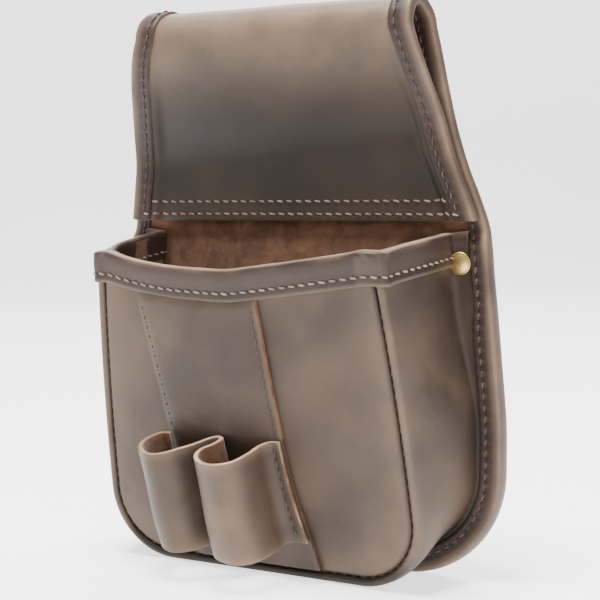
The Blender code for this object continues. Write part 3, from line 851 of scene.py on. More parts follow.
@dataclass
class BackPanel:
    """The back panel and belt flap, one folded sheet of thick leather."""

    pattern: PanelPattern
    palette: Palette
    row_step: float = 2.2

    def shares(self) -> list[float]:
        """Places across a row as (side, distance from the edge) packed into one number."""
        near = [0.0, 1.0, 2.5, 4.5, 7.0, 9.5, 11.5, 13.0, 14.5, 16.0, 18.0, 21.0]
        middle = list(np.linspace(0.0, 1.0, 40)[1:-1])
        return [-1000.0 + d for d in near] + middle + [1000.0 - d for d in near[::-1]]

    def across(self, share: float, s: float) -> float:
        """Position across the sheet of one of shares()."""
        left = -self.pattern.half_width(-1, s)
        right = self.pattern.half_width(1, s)
        if share < -500.0:
            return left + share + 1000.0
        if share > 500.0:
            return right + share - 1000.0
        return mix(left + 21.0, right - 21.0, share)

    def look(self, u: float, s: float) -> Look:
        """Paler where the leather bends over the belt, partly pull-up and partly a painted highlight on the
        fold's top, and darker over most of the flap as painted shade.
        """
        p = self.pattern
        # Painted highlight with some pull-up: the top of the fold over the belt is made paler.
        fold = math.exp(-(((s - 0.5 * (p.fold_start + p.flap_start)) / 26.0) ** 2))
        t = (s - p.flap_start) / (p.end - p.flap_start)
        wear_and_highlight = 0.66 * fold
        shade = 0.0
        if t > 0.0:
            side = 1 if u > 0 else -1
            near_edge = bell((abs(u) - p.half_width(side, s) + 13.0) / 9.0)
            # Painted shade over the middle of the flap, less of it near the flap's bottom.
            shade = 0.86 * smoothstep((t - 0.16) / 0.30) * (1.0 - 0.45 * smoothstep((t - 0.80) / 0.16))
            wear_and_highlight += 0.05 * bell((t - 0.78) / 0.16) * bell((u + 40.0) / 34.0) + 0.06 * near_edge
            wear_and_highlight += 0.20 * bell((p.end - s - 1.0) / 2.2)
        wear_and_highlight += 0.08 * max(0.0, rough(u, s, 40.0, 24.0))
        return Look(wear_and_highlight, shade)

    def build(self, shop: Workshop) -> None:
        """Adds the sheet."""
        p = self.pattern
        rows = [p.corner_z - p.corner_radius * math.cos(math.radians(a)) for a in range(0, 90, 4)]
        rows += evenly(p.corner_z, p.end, self.row_step)

        def mapper(share: float, s: float, side: float) -> tuple[Point, Look]:
            """Grid to sheet."""
            u = self.across(share, s)
            point = p.place(u, s, p.thickness * side + p.wave(u, s))
            # Painted shade on the flesh side low in the pocket.
            inside = 0.5 * smoothstep((70.0 - s) / 60.0) if side < 0.5 and s < 150.0 else 0.0
            look = self.look(u, s)
            return point, Look(look.wear_and_highlight, look.shade if side > 0.5 else inside)

        mats = (self.palette.grain, self.palette.suede, self.palette.edge)
        shop.sheet(
            "back_panel_leather", self.shares(), rows, mapper, mats, ["back_panel"], 0.45
        )


@dataclass
class EdgeBinding:
    """Thin leather wrapped over the outline of the back panel and flap, drawn down by its stitches."""

    pattern: PanelPattern
    palette: Palette
    thickness: float = 1.2
    leg: float = 9.3
    leg_rim: float = 7.4
    wrap: float = 1.5
    pitch: float = 5.1
    step: float = 1.275

    def under(self, s: float) -> float:
        """Distance of the flesh-side leg from the flesh side of the panel."""
        return mix(2.75, 0.12, smoothstep((s - 151.0) / 7.0))

    def leg_at(self, s: float) -> float:
        """Width of the legs inside the outline."""
        narrow = smoothstep((s - 112.0) / 14.0) * (1.0 - smoothstep((s - 158.0) / 14.0))
        return mix(self.leg, self.leg_rim, narrow)

    def stitch_at(self, s: float) -> float:
        """Distance of the stitching inside the outline."""
        return self.leg_at(s) * 0.67

    def section(self, s: float) -> list[tuple[float, float, float]]:
        """Section points as (inward, out of the flesh side, share of the leg's stitch dip)."""
        leg = self.leg_at(s)
        low = self.under(s)
        high = self.pattern.thickness + 0.12
        t = self.thickness
        seam = self.stitch_at(s)
        top = [leg, leg - 0.35, seam + 1.1, seam + 0.5, seam, seam - 0.5, seam - 1.1, seam - 2.4, 1.2, 0.3]
        rows = [(d, high + t * (0.72 if d == leg else 1.0), 1.0) for d in top]
        middle = 0.5 * (high + t - low - t)
        rise = 0.5 * (high + low) + t
        for a in range(75, -90, -15):
            c, s_ = math.cos(math.radians(a)), math.sin(math.radians(a))
            rows.append((0.3 - (self.wrap + 0.3) * c**0.8, middle + rise * s_, 0.0))
        rows += [(d, -low - t * (0.72 if d == leg else 1.0), 1.0) for d in top[::-1]]
        rows += [(leg, -low, 0.0), (-0.3, -low, 0.0), (-0.3, high, 0.0), (leg, high, 0.0)]
        return rows

    def build(self, shop: Workshop) -> None:
        """Adds the binding."""
        p = self.pattern
        rings, looks = [], []
        run = 0.0
        for u, s, iu, is_ in p.outline(self.step):
            run += self.step
            ring, marks = [], []
            section = self.section(s)
            seam = self.stitch_at(s)
            pull = 0.55 + 0.45 * math.cos(2.0 * math.pi * run / self.pitch)
            corner = smoothstep((52.0 - s) / 20.0) * smoothstep((s - 1.0) / 6.0)
            shoulder = bell((s - 178.0) / 16.0)
            pleat = 0.22 * corner + 0.16 * shoulder + 0.035
            last = len(section) - 4
            for k, (d, n, dips) in enumerate(section):
                q = vec(u + iu * d, s + is_ * d)
                sign = 1.0 if n > p.thickness * 0.5 else -1.0
                lift = p.wave(q[0], q[1])
                if k < last:
                    dip = dips * (0.20 * bell((d - seam) / 1.0) * pull + 0.10 * bell((d - seam) / 2.2))
                    ripple = pleat * rough(run, d * 0.35, 5.0 * sign, 3.1) * smoothstep((6.0 - d) / 3.0)
                    ripple += 0.10 * rough(run, d, 20.0 * sign, 11.0)
                    n = n + sign * (ripple - dip)
                point = p.place(q[0], q[1], n + lift)
                ring.append(point)
                rubbed = bell(d / 1.6) * (0.42 + 0.3 * rough(run, 0.0, 1.0, 22.0))
                between = max(0.0, -math.cos(2.0 * math.pi * run / self.pitch))
                # Painted highlight on the leather puffed up between the stitches.
                puff = 0.10 * between * dips * bell((d - seam) / 2.0)
                marks.append(Look(max(0.0, rubbed) + puff, 0.5 * bell((d - seam) / 0.6) * pull * dips))
            rings.append(ring)
            looks.append(marks)
        count = len(rings[0])
        cut = {count - 5, count - 1}
        mats = (self.palette.binding, self.palette.binding_edge)
        shop.tube("edge_binding_leather", rings, looks, mats, ["edge_binding"], cut, 62.0)

    def stitch_track(self, face: int) -> list[tuple[Point, Point]]:
        """Path of the stitching on the grain (1) or flesh (-1) side: point and outward direction."""
        p = self.pattern
        rows = []
        for u, s, iu, is_ in p.outline(self.step):
            d = self.stitch_at(s)
            q = vec(u + iu * d, s + is_ * d)
            level = p.thickness + 0.12 + self.thickness if face > 0 else -self.under(s) - self.thickness
            lift = p.wave(q[0], q[1])
            a = p.place(q[0], q[1], level + lift)
            b = p.place(q[0], q[1], level + lift + face)
            rows.append((a, unit(b - a)))
        return rows


@dataclass
class Gusset:
    """The side wall: one strip with a turned front edge and a flange behind."""

    pocket: PocketPattern
    palette: Palette
    thickness: float = 2.2
    roll: float = 2.0
    gap: float = 0.12
    allowance: float = 5.4
    flange_inset: float = 11.4
    flange_inset_rim: float = 17.3
    bend: float = 1.5

    def profile(self, q: float) -> list[tuple[Point, float, float, float, float, float]]:
        """Section at a station: base (x, z), outward, y, normal outward, normal y, sink."""
        k = self.pocket
        front, back, out = k.at(q)
        y0 = k.lean(front[1])
        tuck = mix(self.allowance, 0.5, k.rim_share(front[1]))
        inset = mix(self.flange_inset, self.flange_inset_rim, smoothstep((back[1] - 70.0) / 62.0))
        roll, half_gap = self.roll, self.gap / 2.0
        side = half_gap + 2.0 * roll
        joint = back - out * inset
        flange = -0.12 - self.thickness
        bend = mix(self.bend, 4.0, smoothstep((back[1] - 70.0) / 62.0))
        rows = [(front, half_gap, y0 + roll + tuck, -1.0, 0.0, 0.0)]
        rows.append((front, half_gap, y0 + roll + tuck * 0.4, -1.0, 0.0, 0.0))
        for a in range(180, 361, 15):
            c, s = math.cos(math.radians(a)), math.sin(math.radians(a))
            rows.append((front, half_gap + roll + roll * c, y0 + roll + roll * s, c, s, 0.0))
        for f in evenly(0.0, 1.0, 0.045)[1:]:
            base = mix(front, joint, smoothstep(f) * 0.5 + f * 0.5)
            y = mix(y0 + roll, flange - bend, f)
            puff = side + 1.6 * math.sin(math.pi * min(1.0, f * 1.25)) * math.exp(-2.0 * f)
            o = puff * (1.0 - smoothstep((f - 0.08) / 0.92))
            wobble = 0.5 * rough(base[0], y, base[1], 27.0) + 0.9 * rough(base[0], y, base[1] + 90.0, 60.0)
            o += wobble * math.sin(math.pi * f) * smoothstep((150.0 - base[1]) / 30.0)
            rows.append((base, o, y, 1.0, 0.0, 0.0))
        for a in range(15, 91, 15):
            c, s = math.cos(math.radians(a)), math.sin(math.radians(a))
            y = flange - bend + bend * s
            rows.append((joint, bend * (1.0 - c), y, c, -s, 0.0))
        drop = 5.5 * k.rim_share(back[1])
        for f in (0.3, 0.65, 1.0):
            sink = drop * smoothstep((f - 0.3) / 0.7)
            rows.append((joint, mix(bend, inset - 0.2, f), flange, 0.0, -1.0, sink))
        return rows

    def build(self, shop: Workshop) -> None:
        """Adds the strip."""
        stations = self.pocket.parameters(14)
        sections = {q: (self.profile(q), self.pocket.at(q)[2]) for q in stations}
        count = len(sections[stations[0]][0])

        def mapper(column: float, q: float, side: float) -> tuple[Point, Look]:
            """Grid to strip."""
            rows, out = sections[q]
            base, o, y, no, ny, sink = rows[int(column)]
            o -= no * self.thickness * (1.0 - side)
            y -= ny * self.thickness * (1.0 - side)
            place = vec(base[0] + out[0] * o, y, base[1] + out[1] * o - sink)
            rolled = bell((column - 9.0) / 4.0)
            wear_and_highlight = 0.32 * rolled + 0.10 * max(0.0, rough(place[0], y, place[2], 21.0))
            # Painted shade in the seam grooves, on the flesh side low in the pocket and on the strip's
            # underside facing the floor.
            groove = bell((column - 3.0) / 2.0) + bell((column - count + 6.0) / 3.0)
            inside = 0.55 * smoothstep((90.0 - place[2]) / 70.0) if side < 0.5 else 0.0
            under = 0.95 * smoothstep((-out[1] - 0.45) / 0.4) * side
            wear_and_highlight *= 1.0 - under
            return place, Look(wear_and_highlight if side > 0.5 else 0.0, min(1.0, 0.5 * groove * side + inside + under))

        mats = (self.palette.grain, self.palette.suede, self.palette.edge)
        columns = [float(k) for k in range(count)]
        shop.sheet("gusset_leather", columns, stations, mapper, mats, ["gusset"], 0.0)


@dataclass
class FrontPanel:
    """The crowned front panel, its edge turned back into the seam."""

    pocket: PocketPattern
    palette: Palette
    thickness: float = 2.6
    roll: float = 2.6
    gap: float = 0.06
    allowance: float = 5.4

    def build(self, shop: Workshop) -> None:
        """Adds the panel."""
        k = self.pocket
        stations = k.parameters(12)
        turned = [-2.0, -1.0] + [float(a) for a in range(0, 91, 15)]
        spread = evenly(0.0, 1.0, 0.045)[1:]
        columns = turned + [1000.0 + f for f in spread]

        def mapper(column: float, q: float, side: float) -> tuple[Point, Look]:
            """Grid to panel."""
            front, _, out = k.at(q)
            y0 = k.lean(front[1])
            tuck = mix(self.allowance, 0.5, k.rim_share(front[1]))
            back = self.thickness * (1.0 - side)
            edge = self.gap / 2.0
            # Painted shade in the seam's groove: the tucked edge and the inner side of the turn are darkened.
            if column < 0.0:
                reach = tuck * (1.0 if column < -1.5 else 0.4)
                base = front - out * (edge + back)
                return vec(base[0], y0 + self.roll + reach, base[1]), Look(0.0, 0.8)
            if column <= 90.0:
                c, s = math.cos(math.radians(column)), math.sin(math.radians(column))
                base = front - out * (edge + self.roll * (1.0 - c) + c * back)
                y = y0 + self.roll * (1.0 - s) + s * back
                return vec(base[0], y, base[1]), Look(0.26 * bell((column - 75.0) / 30.0), 0.85 * c)
            f = column - 1000.0
            start = front - out * (self.roll + edge)
            share = max(0.0, (abs(q) - 1.0) / 3.0) if q else 0.0
            spine = vec(0.0, mix(k.spine_low, k.rim_centre, share**1.5))
            x = mix(start[0], spine[0], f)
            z = mix(start[1], spine[1], k.dip(q, f))
            y = k.front(x, z)
            wear_and_highlight = 0.16 * bell(f / 0.12) + 0.10 * max(0.0, rough(x, 7.0, z, 26.0))
            inside = 0.55 * smoothstep((90.0 - z) / 70.0) if side < 0.5 else 0.0
            return vec(x, y + back, z), Look(wear_and_highlight, inside)

        mats = (self.palette.grain, self.palette.suede, self.palette.edge)
        shop.sheet(
            "front_panel_leather", columns, stations, mapper, mats, ["front_panel"], 0.0,
            weld=True,
        )


@dataclass
class RimBinding:
    """Thin leather folded over the pocket mouth, with its ends lapped at the right front corner."""

    pocket: PocketPattern
    palette: Palette
    thickness: float = 1.2
    gap: float = 0.2
    leg: float = 13.0
    inner_leg: float = 12.0
    stitch: float = 9.0
    pitch: float = 5.0
    step: float = 1.25

    def stations(self) -> list[Point]:
        """Outer x, y, inner x, y, height, way down x, y, z, facing x, y along the rim."""
        k = self.pocket
        halves = []
        for side in (-1, 1):
            front, back, out = k.station(side, 0.0)
            joint = back - out * 17.3
            wall = 4.82
            y0 = k.lean(k.rim(side))
            half: list[tuple] = []

            def add(outer: tuple, inner: tuple, z: float, down: tuple, way: tuple) -> None:
                """One station."""
                half.append((*outer, *inner, z, *down, *way))

            lean = k.lean_slope
            reach = back - out * 7.6
            for f, turn in ((0.0, 0.0), (0.35, 0.0), (0.7, 0.1), (0.93, 0.35)):
                p = mix(reach, joint, f)
                add((p[0], -2.4), (p[0], -1.6), p[1], (side * 0.05, 0.0, -1.0), (side * turn, -1.0 + turn))
            upright = (side * 0.125, 0.0, -1.0)
            wall_rows = (
                (1.0, 0.97, 0.4), (0.93, 0.9, 0.9), (0.65, 0.65, wall - 1.6), (0.3, 0.35, wall - 0.3),
            )
            for f, share, bulge in wall_rows:
                p = mix(front, joint, f) + out * bulge
                q = p - out * 2.2
                y = mix(y0, -3.2, share)
                add((p[0], y), (q[0], y), p[1], upright, (side, 0.0))
            p = front + out * wall
            q = p - out * 2.2
            x, z = front[0], k.rim(side)
            corner = (side * 0.125, lean, -1.0)
            add((p[0], y0 + 9.0), (q[0] - side * 0.2, y0 + 11.0), p[1], upright, (side, 0.0))
            add((x + side * wall, y0 + 3.0), (x + side * 0.6, y0 + 8.0), z, corner, (side, -0.15))
            add((x + side * (wall - 1.0), y0 + 0.4), (x - side * 1.2, y0 + 7.0), z, corner, (side, -0.9))
            add((x + side * 2.0, y0 - 0.2), (x - side * 3.2, y0 + 6.2), z, corner, (side * 0.3, -1.0))
            add((x - side * 2.5, y0 - 0.2), (x - side * 6.0, y0 + 4.6), z, (0.0, lean, -1.0), (0.0, -1.0))
            for f in (0.15, 0.35, 0.55, 0.8, 1.0):
                px = mix(x - side * 3.2, 0.0, f)
                pz = mix(k.rim(side), k.rim_centre, k.dip(side, f))
                y = k.front(px, pz)
                add((px, y), (px, y + 2.6), pz, (0.0, lean, -1.0), (0.0, -1.0))
            halves.append(half)
        return halves[0] + halves[1][-2::-1]

    def track(self) -> Track:
        """The stations along the rim, smoothed."""
        return Track(smooth_path(self.stations(), 4), 2)

    def lap(self, s: float, length: float) -> float:
        """Extra thickness where the ends of the strip lap, near the right front corner."""
        here = length - s - 71.5
        return 0.62 * smoothstep((here + 8.0) / 5.0) * smoothstep((7.0 - here) / 2.4)

    def build(self, shop: Workshop) -> None:
        """Adds the binding."""
        track = self.track()
        t = self.thickness
        rings, looks = [], []
        for s in evenly(0.0, track.length, self.step):
            ox, oy, ix, iy, z, dx, dy, dz, wx, wy = track.read(s)
            face, back, down = vec(ox, oy, z), vec(ix, iy, z), vec(dx, dy, dz)
            way = unit(vec(wx, wy, 0.0))
            lap = self.lap(s, track.length)
            pull = 0.5 + 0.5 * math.cos(2.0 * math.pi * s / self.pitch)
            end = smoothstep((min(s, track.length - s) - 1.0) / 16.0)
            ring, marks = [], []

            def add(point: Point, wear_and_highlight: float = 0.0, shade: float = 0.0) -> None:
                """One section point."""
                ring.append(point)
                marks.append(Look(wear_and_highlight, shade))

            for d in (self.leg, self.leg - 0.4, 11.2, 10.0, 9.4, self.stitch, 8.6, 8.0, 6.8, 5.0, 3.0, 1.2):
                dip = 0.22 * bell((d - self.stitch) / 0.9) * pull + 0.12 * bell((d - self.stitch) / 2.0)
                crumple = 0.22 * (1.0 - end) * rough(s, d * 0.4, 8.0, 3.4)
                puff = 0.28 * bell((d - 4.2) / 3.0) + 0.16 * rough(s, d, 3.0, 9.0) + crumple
                skive = 0.35 if d == self.leg else 0.0
                out = self.gap + t + lap + puff - dip - skive
                lit = 0.04 * bell((d - 4.0) / 3.0) + 0.22 * bell((d - self.leg) / 0.8) + 0.14 * min(1.0, lap)
                add(face + way * out + down * d, lit, 0.45 * bell((d - self.stitch) / 0.6) * pull)
            middle = 0.5 * (face + back)
            span = 0.5 * float(np.linalg.norm(face[:2] - back[:2])) + self.gap + t
            for a in range(15, 170, 15):
                c, n = math.cos(math.radians(a)), math.sin(math.radians(a))
                rise = (2.0 + 0.4 * lap) * n**0.8 + 0.12 * rough(s, a * 0.05, 5.0, 8.0)
                # Paler along the top of the fold over the mouth: partly worn, partly a painted highlight.
                worn_and_lit = bell((a - 66.0) / 30.0) + 0.40 * rough(s, 2.0, 0.0, 17.0)
                add(middle + way * ((span + lap) * c) + vec(0.0, 0.0, rise), max(0.0, worn_and_lit))
            for d in (1.2, 3.0, 5.5, 7.5, self.stitch, 10.0, self.inner_leg):
                dip = 0.2 * bell((d - self.stitch) / 1.0) * pull
                add(back - way * (self.gap + t - dip) + down * d, 0.05)
            inside = (
                (back, -1.0, self.inner_leg), (back, -1.0, 0.0), (face, 1.0, 0.0), (face, 1.0, self.leg),
            )
            for base, sign, d in inside:
                top = vec(0.0, 0.0, 0.9) if d == 0.0 else vec(0.0, 0.0, 0.0)
                add(base + way * (sign * self.gap) + down * d + top)
            rings.append(ring)
            looks.append(marks)
        count = len(rings[0])
        mats = (self.palette.binding, self.palette.binding_edge)
        cut = {count - 5, count - 1}
        shop.tube("rim_binding_leather", rings, looks, mats, ["rim_binding"], cut, 62.0)

    def stitch_track(self, face: int) -> list[tuple[Point, Point]]:
        """Path of the stitching outside (1) or inside (-1) the rim."""
        track = self.track()
        rows = []
        for s in evenly(4.0, track.length - 3.0, 1.0):
            ox, oy, ix, iy, z, dx, dy, dz, wx, wy = track.read(s)
            way = unit(vec(wx, wy, 0.0)) * face
            base = vec(ox, oy, z) if face > 0 else vec(ix, iy, z)
            lap = self.lap(s, track.length) if face > 0 else 0.0
            rows.append((base + vec(dx, dy, dz) * self.stitch + way * (self.gap + self.thickness + lap), way))
        return rows


@dataclass
class LoopBacking:
    """Raw-edged overlay on the front panel under the tool loops."""

    pocket: PocketPattern
    palette: Palette
    thickness: float = 2.2
    lift: float = 0.12
    low: float = 6.2
    high: float = 133.2

    def edge(self, side: int, z: float) -> float:
        """Left or right edge at a height."""
        if side > 0:
            return smooth_curve([5.0, 57.0, 125.0], [33.0, 22.5, 14.4], z)
        return smooth_curve([5.0, 75.0, 125.0], [-35.0, -43.0, -51.8], z)

    def top(self, x: float) -> float:
        """Height of the top edge, which follows the rim under its binding."""
        k = self.pocket
        side = 1 if x > 0 else -1
        f = 1.0 - abs(x) / (k.half(k.rim(side)) - 3.0)
        return mix(k.rim(side), k.rim_centre, k.dip(side, f)) - 6.8

    def face(self, x: float, z: float) -> float:
        """Front face of the overlay; its left edge and its top are thinned into the panel."""
        thin = 1.0 - 0.62 * bell((x - self.edge(-1, z)) / 3.0)
        thin *= mix(1.0, 0.10, smoothstep((z - self.top(x) + 9.5) / 7.0))
        return self.pocket.front(x, z) - self.lift - self.thickness * thin

    def build(self, shop: Workshop) -> None:
        """Adds the overlay."""
        near = [0.0, 0.8, 1.8, 3.0, 4.5]
        shares = [-1000.0 + d for d in near] + evenly(0.0, 1.0, 0.05)[1:-1] + [1000.0 - d for d in near[::-1]]

        def mapper(share: float, z: float, side: float) -> tuple[Point, Look]:
            """Grid to overlay."""
            left, right = self.edge(-1, z), self.edge(1, z)
            x = mix(left + 4.5, right - 4.5, share)
            if share < -500.0:
                x = left + share + 1000.0
            if share > 500.0:
                x = right + share - 1000.0
            z += (self.top(x) - self.high) * smoothstep((z - 100.0) / (self.high - 100.0))
            dip = 0.16 * (bell((x - right + 3.0) / 0.8) + bell((x - left - 3.0) / 0.8))
            y = mix(self.pocket.front(x, z) - self.lift, self.face(x, z) + dip, side)
            wear_and_highlight = 0.10 * max(0.0, rough(x, 3.0, z, 18.0)) + 0.22 * bell((right - x) / 1.2)
            # Painted shadow under the tool loops, and painted shade darkening the overlay's right edge below
            # the loops' top.
            under = bell((z - 60.0) / 7.0) * smoothstep((20.0 - abs(x + 13.0)) / 18.0 + 0.6)
            low = smoothstep((68.0 - z) / 4.0) * bell((right - x) / 1.5)
            return vec(x, y, z), Look(wear_and_highlight, max(0.28 * under * side, 0.7 * low))

        mats = (self.palette.grain, self.palette.suede, self.palette.edge)
        rows = evenly(self.low, self.high, 2.0)
        shop.sheet("loop_backing_leather", shares, rows, mapper, mats, ["loop_backing"], 0.35)


@dataclass
class ToolLoops:
    """One strip of firm leather bent into two tool loops and sewn down at both ends and in the valley."""

    backing: LoopBacking
    palette: Palette
    thickness: float = 2.1
    top: float = 66.0
    bottom: float = 20.0
    drift: float = 0.124
    sag: float = 0.27
    line: tuple[tuple[float, float], ...] = (
        (-38.5, 1.5), (-42.6, 1.5), (-45.3, 4.2), (-46.2, 9.0), (-44.8, 15.5), (-40.5, 21.3),
        (-33.5, 24.0), (-26.5, 21.0), (-21.5, 14.5), (-17.6, 8.0), (-14.6, 3.6), (-11.4, 1.6),
        (-8.4, 3.6), (-9.6, 8.4), (-12.4, 13.0), (-11.6, 19.0), (-6.2, 24.4), (1.6, 26.6),
        (9.0, 23.0), (12.6, 14.0), (13.6, 6.0), (16.0, 1.8), (20.0, 1.4),
    )

    def place(self, x: float, out: float, drop: float) -> Point:
        """Point of the strip: x across, out in front of the overlay, drop down from the top edge."""
        z = self.top - drop
        end = self.backing.edge(1, z) - 0.5 - 20.0
        px = x + mix(self.drift * drop, end, smoothstep((x - 14.5) / 5.0))
        px -= 2.4 * (drop / 46.0) * bell((x + 9.0) / 6.0) * smoothstep((out - 6.0) / 10.0)
        y = self.backing.pocket.front(px, z) - self.backing.lift - self.backing.thickness - 0.12 - out
        return vec(px, y, z - self.sag * out)

    def build(self, shop: Workshop) -> None:
        """Adds the strip."""
        centre = smooth_path(self.line, 7)
        at = lengths_along(centre)
        total = at[-1]
        drops = [0.0] + evenly(0.8, self.top - self.bottom - 0.8, 2.0) + [self.top - self.bottom]

        def mapper(index: float, drop: float, side: float) -> tuple[Point, Look]:
            """Grid to strip."""
            i = int(index)
            ahead = unit(centre[min(i + 1, len(centre) - 1)] - centre[max(i - 1, 0)])
            across = vec(-ahead[1], ahead[0])
            sign = 1.0 if side > 0.5 else -1.0
            p = centre[i] + across * (sign * self.thickness / 2.0)
            p[1] = max(p[1], 0.06)
            flare = 0.9 * rough(at[i], drop, 2.0, 30.0) * smoothstep(p[1] / 12.0)
            wavy = 0.7 * rough(at[i], 5.0, 0.0, 16.0) * bell(drop / 9.0)
            # Paler at the loops' bends, partly pull-up and partly a painted highlight.
            bends = bell((centre[i][1] - 24.5) / 5.0)
            rub = bell(drop / 2.5) * 0.35 + bell((self.top - self.bottom - drop) / 2.5) * 0.25
            wear_and_highlight = 0.30 * bends + rub + 0.12 * max(0.0, rough(at[i], drop, 9.0, 13.0))
            wear_and_highlight += 0.2 * bell((total - at[i]) / 1.5)
            # Painted shade where the strip is sewn down, over the left loop that turns away from the light,
            # and down the strip's flesh side.
            pinned = bell((centre[i][1] - 1.2) / 2.6)
            first_loop = smoothstep((-20.0 - centre[i][0]) / 12.0)
            shade = 0.45 * pinned + 0.55 * first_loop if side > 0.5 else 0.55 * smoothstep(drop / 14.0)
            return self.place(p[0], p[1] + flare, drop + wavy), Look(wear_and_highlight, shade)

        mats = (self.palette.grain, self.palette.suede, self.palette.tan_edge)
        columns = [float(k) for k in range(len(centre))]
        shop.sheet("tool_loop_leather", columns, drops, mapper, mats, ["tool_loop_strip"], 0.45)


# ---------------------------------------------------------------------------- stitching and rivets


@dataclass
class Stitcher:
    """Lays rows of single stitches that dip into pricked holes at both ends."""

    palette: Palette
    radius: float = 0.52
    sides: int = 6
    segments: int = 6
    slant: float = 0.16
    hole: float = 0.40

    def row(
        self,
        shop: Workshop,
        name: str,
        path: Sequence[tuple[Point, Point]],
        pitch: float,
        nodes: Sequence[str] = (),
        radius: Optional[float] = None,
        fill: float = 0.74,
        thread: Optional[bpy.types.Material] = None,
    ) -> bpy.types.Object:
        """One row of stitches.

        Args:
            shop: the workshop.
            name: the piece's name.
            path: points on the leather with the direction out of it.
            pitch: stitch length.
            nodes: solids the row stands for.
            radius: thread radius, when not the usual one.
            fill: share of the pitch that a stitch shows.
            thread: its finish, when not the usual one.

        Returns:
            The row as one mesh.
        """
        track = Track([(*p, *n) for p, n in path])
        count = max(1, int(round(track.length / pitch)))
        step = track.length / count
        size = radius or self.radius
        bm = bmesh.new()
        twist = bm.verts.layers.float.new("twist")
        for k in range(count):
            start = (k + 0.5 - fill / 2.0) * step
            drift = step * fill * (self.slant + 0.07 * rough(k * 3.1, 1.7, track.length, 1.9))
            shares = [j / self.segments for j in range(self.segments + 1)]
            frames = [self.frame(track, start, fill * step, share) for share in shares]
            made = bmesh.ops.create_grid(bm, x_segments=self.sides, y_segments=self.segments, size=0.5)
            for v in made["verts"]:
                f = v.co.y + 0.5
                turn = 2.0 * math.pi * (v.co.x + 0.5)
                place, up, across = frames[int(round(f * self.segments))]
                arch = max(0.0, math.sin(math.pi * f)) ** 0.5
                width = size * (0.55 + 0.45 * arch) if 0.01 < f < 0.99 else 0.0
                lift = -0.40 + (0.40 + size * 0.5) * arch
                side = across * (math.cos(turn) * width + drift * (f - 0.5))
                v[twist] = 2.0 * (v.co.x + 0.5) + f * step * fill / 1.15
                v.co = Vector(place + up * (lift + math.sin(turn) * width * 0.86) + side)
            spot = self.frame(track, (k + 1.0) * step, 0.1, 0.0)
            self.prick(bm, spot, size * self.hole / self.radius, drift)
        bmesh.ops.remove_doubles(bm, verts=bm.verts, dist=1e-4)
        bmesh.ops.recalc_face_normals(bm, faces=bm.faces)
        mats = (thread or self.palette.thread, self.palette.hole)
        return shop.store(name, bm, mats, nodes, 75.0)

    def prick(
        self, bm: bmesh.types.BMesh, frame: tuple[Point, Point, Point], size: float, drift: float
    ) -> None:
        """A slanted pricked hole between two stitches: a flat dark lens let into the leather, painting the
        shade inside the hole.
        """
        place, up, across = frame
        ahead = np.cross(across, up)
        long_way = unit(across * 0.75 + ahead * 0.66 * (1.0 if drift > 0.0 else -1.0))
        short_way = np.cross(up, long_way)
        made = bmesh.ops.create_uvsphere(bm, u_segments=8, v_segments=4, radius=1.0)
        for v in made["verts"]:
            spot = place + long_way * (v.co.x * size * 1.75) + short_way * (v.co.y * size * 0.95)
            v.co = Vector(spot + up * (v.co.z * 0.12 + 0.02))
        for face in {f for v in made["verts"] for f in v.link_faces}:
            face.material_index = 1

    @staticmethod
    def frame(track: Track, start: float, length: float, f: float) -> tuple[Point, Point, Point]:
        """Place, direction out of the leather and sideways direction at a share of a stitch."""
        row = track.read(start + f * length)
        before = track.read(start + max(0.0, f - 0.1) * length)[:3]
        after = track.read(start + min(1.0, f + 0.1) * length)[:3]
        ahead = unit(after - before)
        up = unit(row[3:] - ahead * float(np.dot(row[3:], ahead)))
        return row[:3], up, np.cross(ahead, up)


@dataclass
class Rivet:
    """Double-cap rivet: a domed cap in front, a flatter one behind and the post between them."""

    palette: Palette
    side: int
    x: float = 85.0
    z: float = 143.0
    seat: float = -3.75
    radius: float = 5.2
    steps: int = 56

    def turned(
        self, shop: Workshop, name: str, profile: Sequence[tuple[float, float]], nodes: Sequence[str]
    ) -> None:
        """Spins a profile of (radius, y) about the rivet's line."""
        bm = bmesh.new()
        shade = bm.verts.layers.float.new("shade")
        points = [bm.verts.new((r, y, 0.0)) for r, y in profile]
        edges = [bm.edges.new(pair) for pair in zip(points, points[1:])]
        bmesh.ops.spin(
            bm, geom=points + edges, cent=(0, 0, 0), axis=(0, 1, 0), angle=2.0 * math.pi, steps=self.steps,
            use_merge=True,
        )
        bmesh.ops.remove_doubles(bm, verts=bm.verts, dist=1e-4)
        for v in bm.verts:
            r = math.hypot(v.co.x, v.co.z)
            v[shade] = bell((r - 4.55) / 0.35) + 0.6 * bell((r - self.radius) / 0.35)
        bmesh.ops.translate(bm, verts=bm.verts, vec=(self.side * self.x, 0.0, self.z))
        shop.store(name, bm, (self.palette.brass,), nodes, 40.0)

    def build(self, shop: Workshop) -> None:
        """Adds the cap with its post, and the rear cap."""
        word = "right" if self.side > 0 else "left"
        r, seat = self.radius, self.seat
        cap = [
            (0.0, seat - 1.95), (1.2, seat - 1.92), (2.4, seat - 1.78), (3.4, seat - 1.55), (4.1, seat - 1.3),
            (4.45, seat - 1.12), (4.62, seat - 1.12), (4.85, seat - 1.2), (5.05, seat - 1.05),
            (r, seat - 0.7), (r, seat - 0.35), (5.0, seat + 0.05), (4.4, seat + 0.2), (2.0, seat + 0.2),
            (2.0, 4.4), (0.0, 4.4),
        ]
        self.turned(shop, f"rivet_front_{word}", cap, [f"rivet_cap_{word}"])
        rear = 4.15
        back = [
            (0.0, rear + 1.45), (2.2, rear + 1.4), (3.6, rear + 1.15), (4.6, rear + 0.75), (5.0, rear + 0.35),
            (4.9, rear), (4.2, rear - 0.1), (2.15, rear - 0.1), (2.15, rear + 0.4), (0.0, rear + 0.4),
        ]
        self.turned(shop, f"rivet_rear_{word}", back, [f"rivet_back_{word}"])


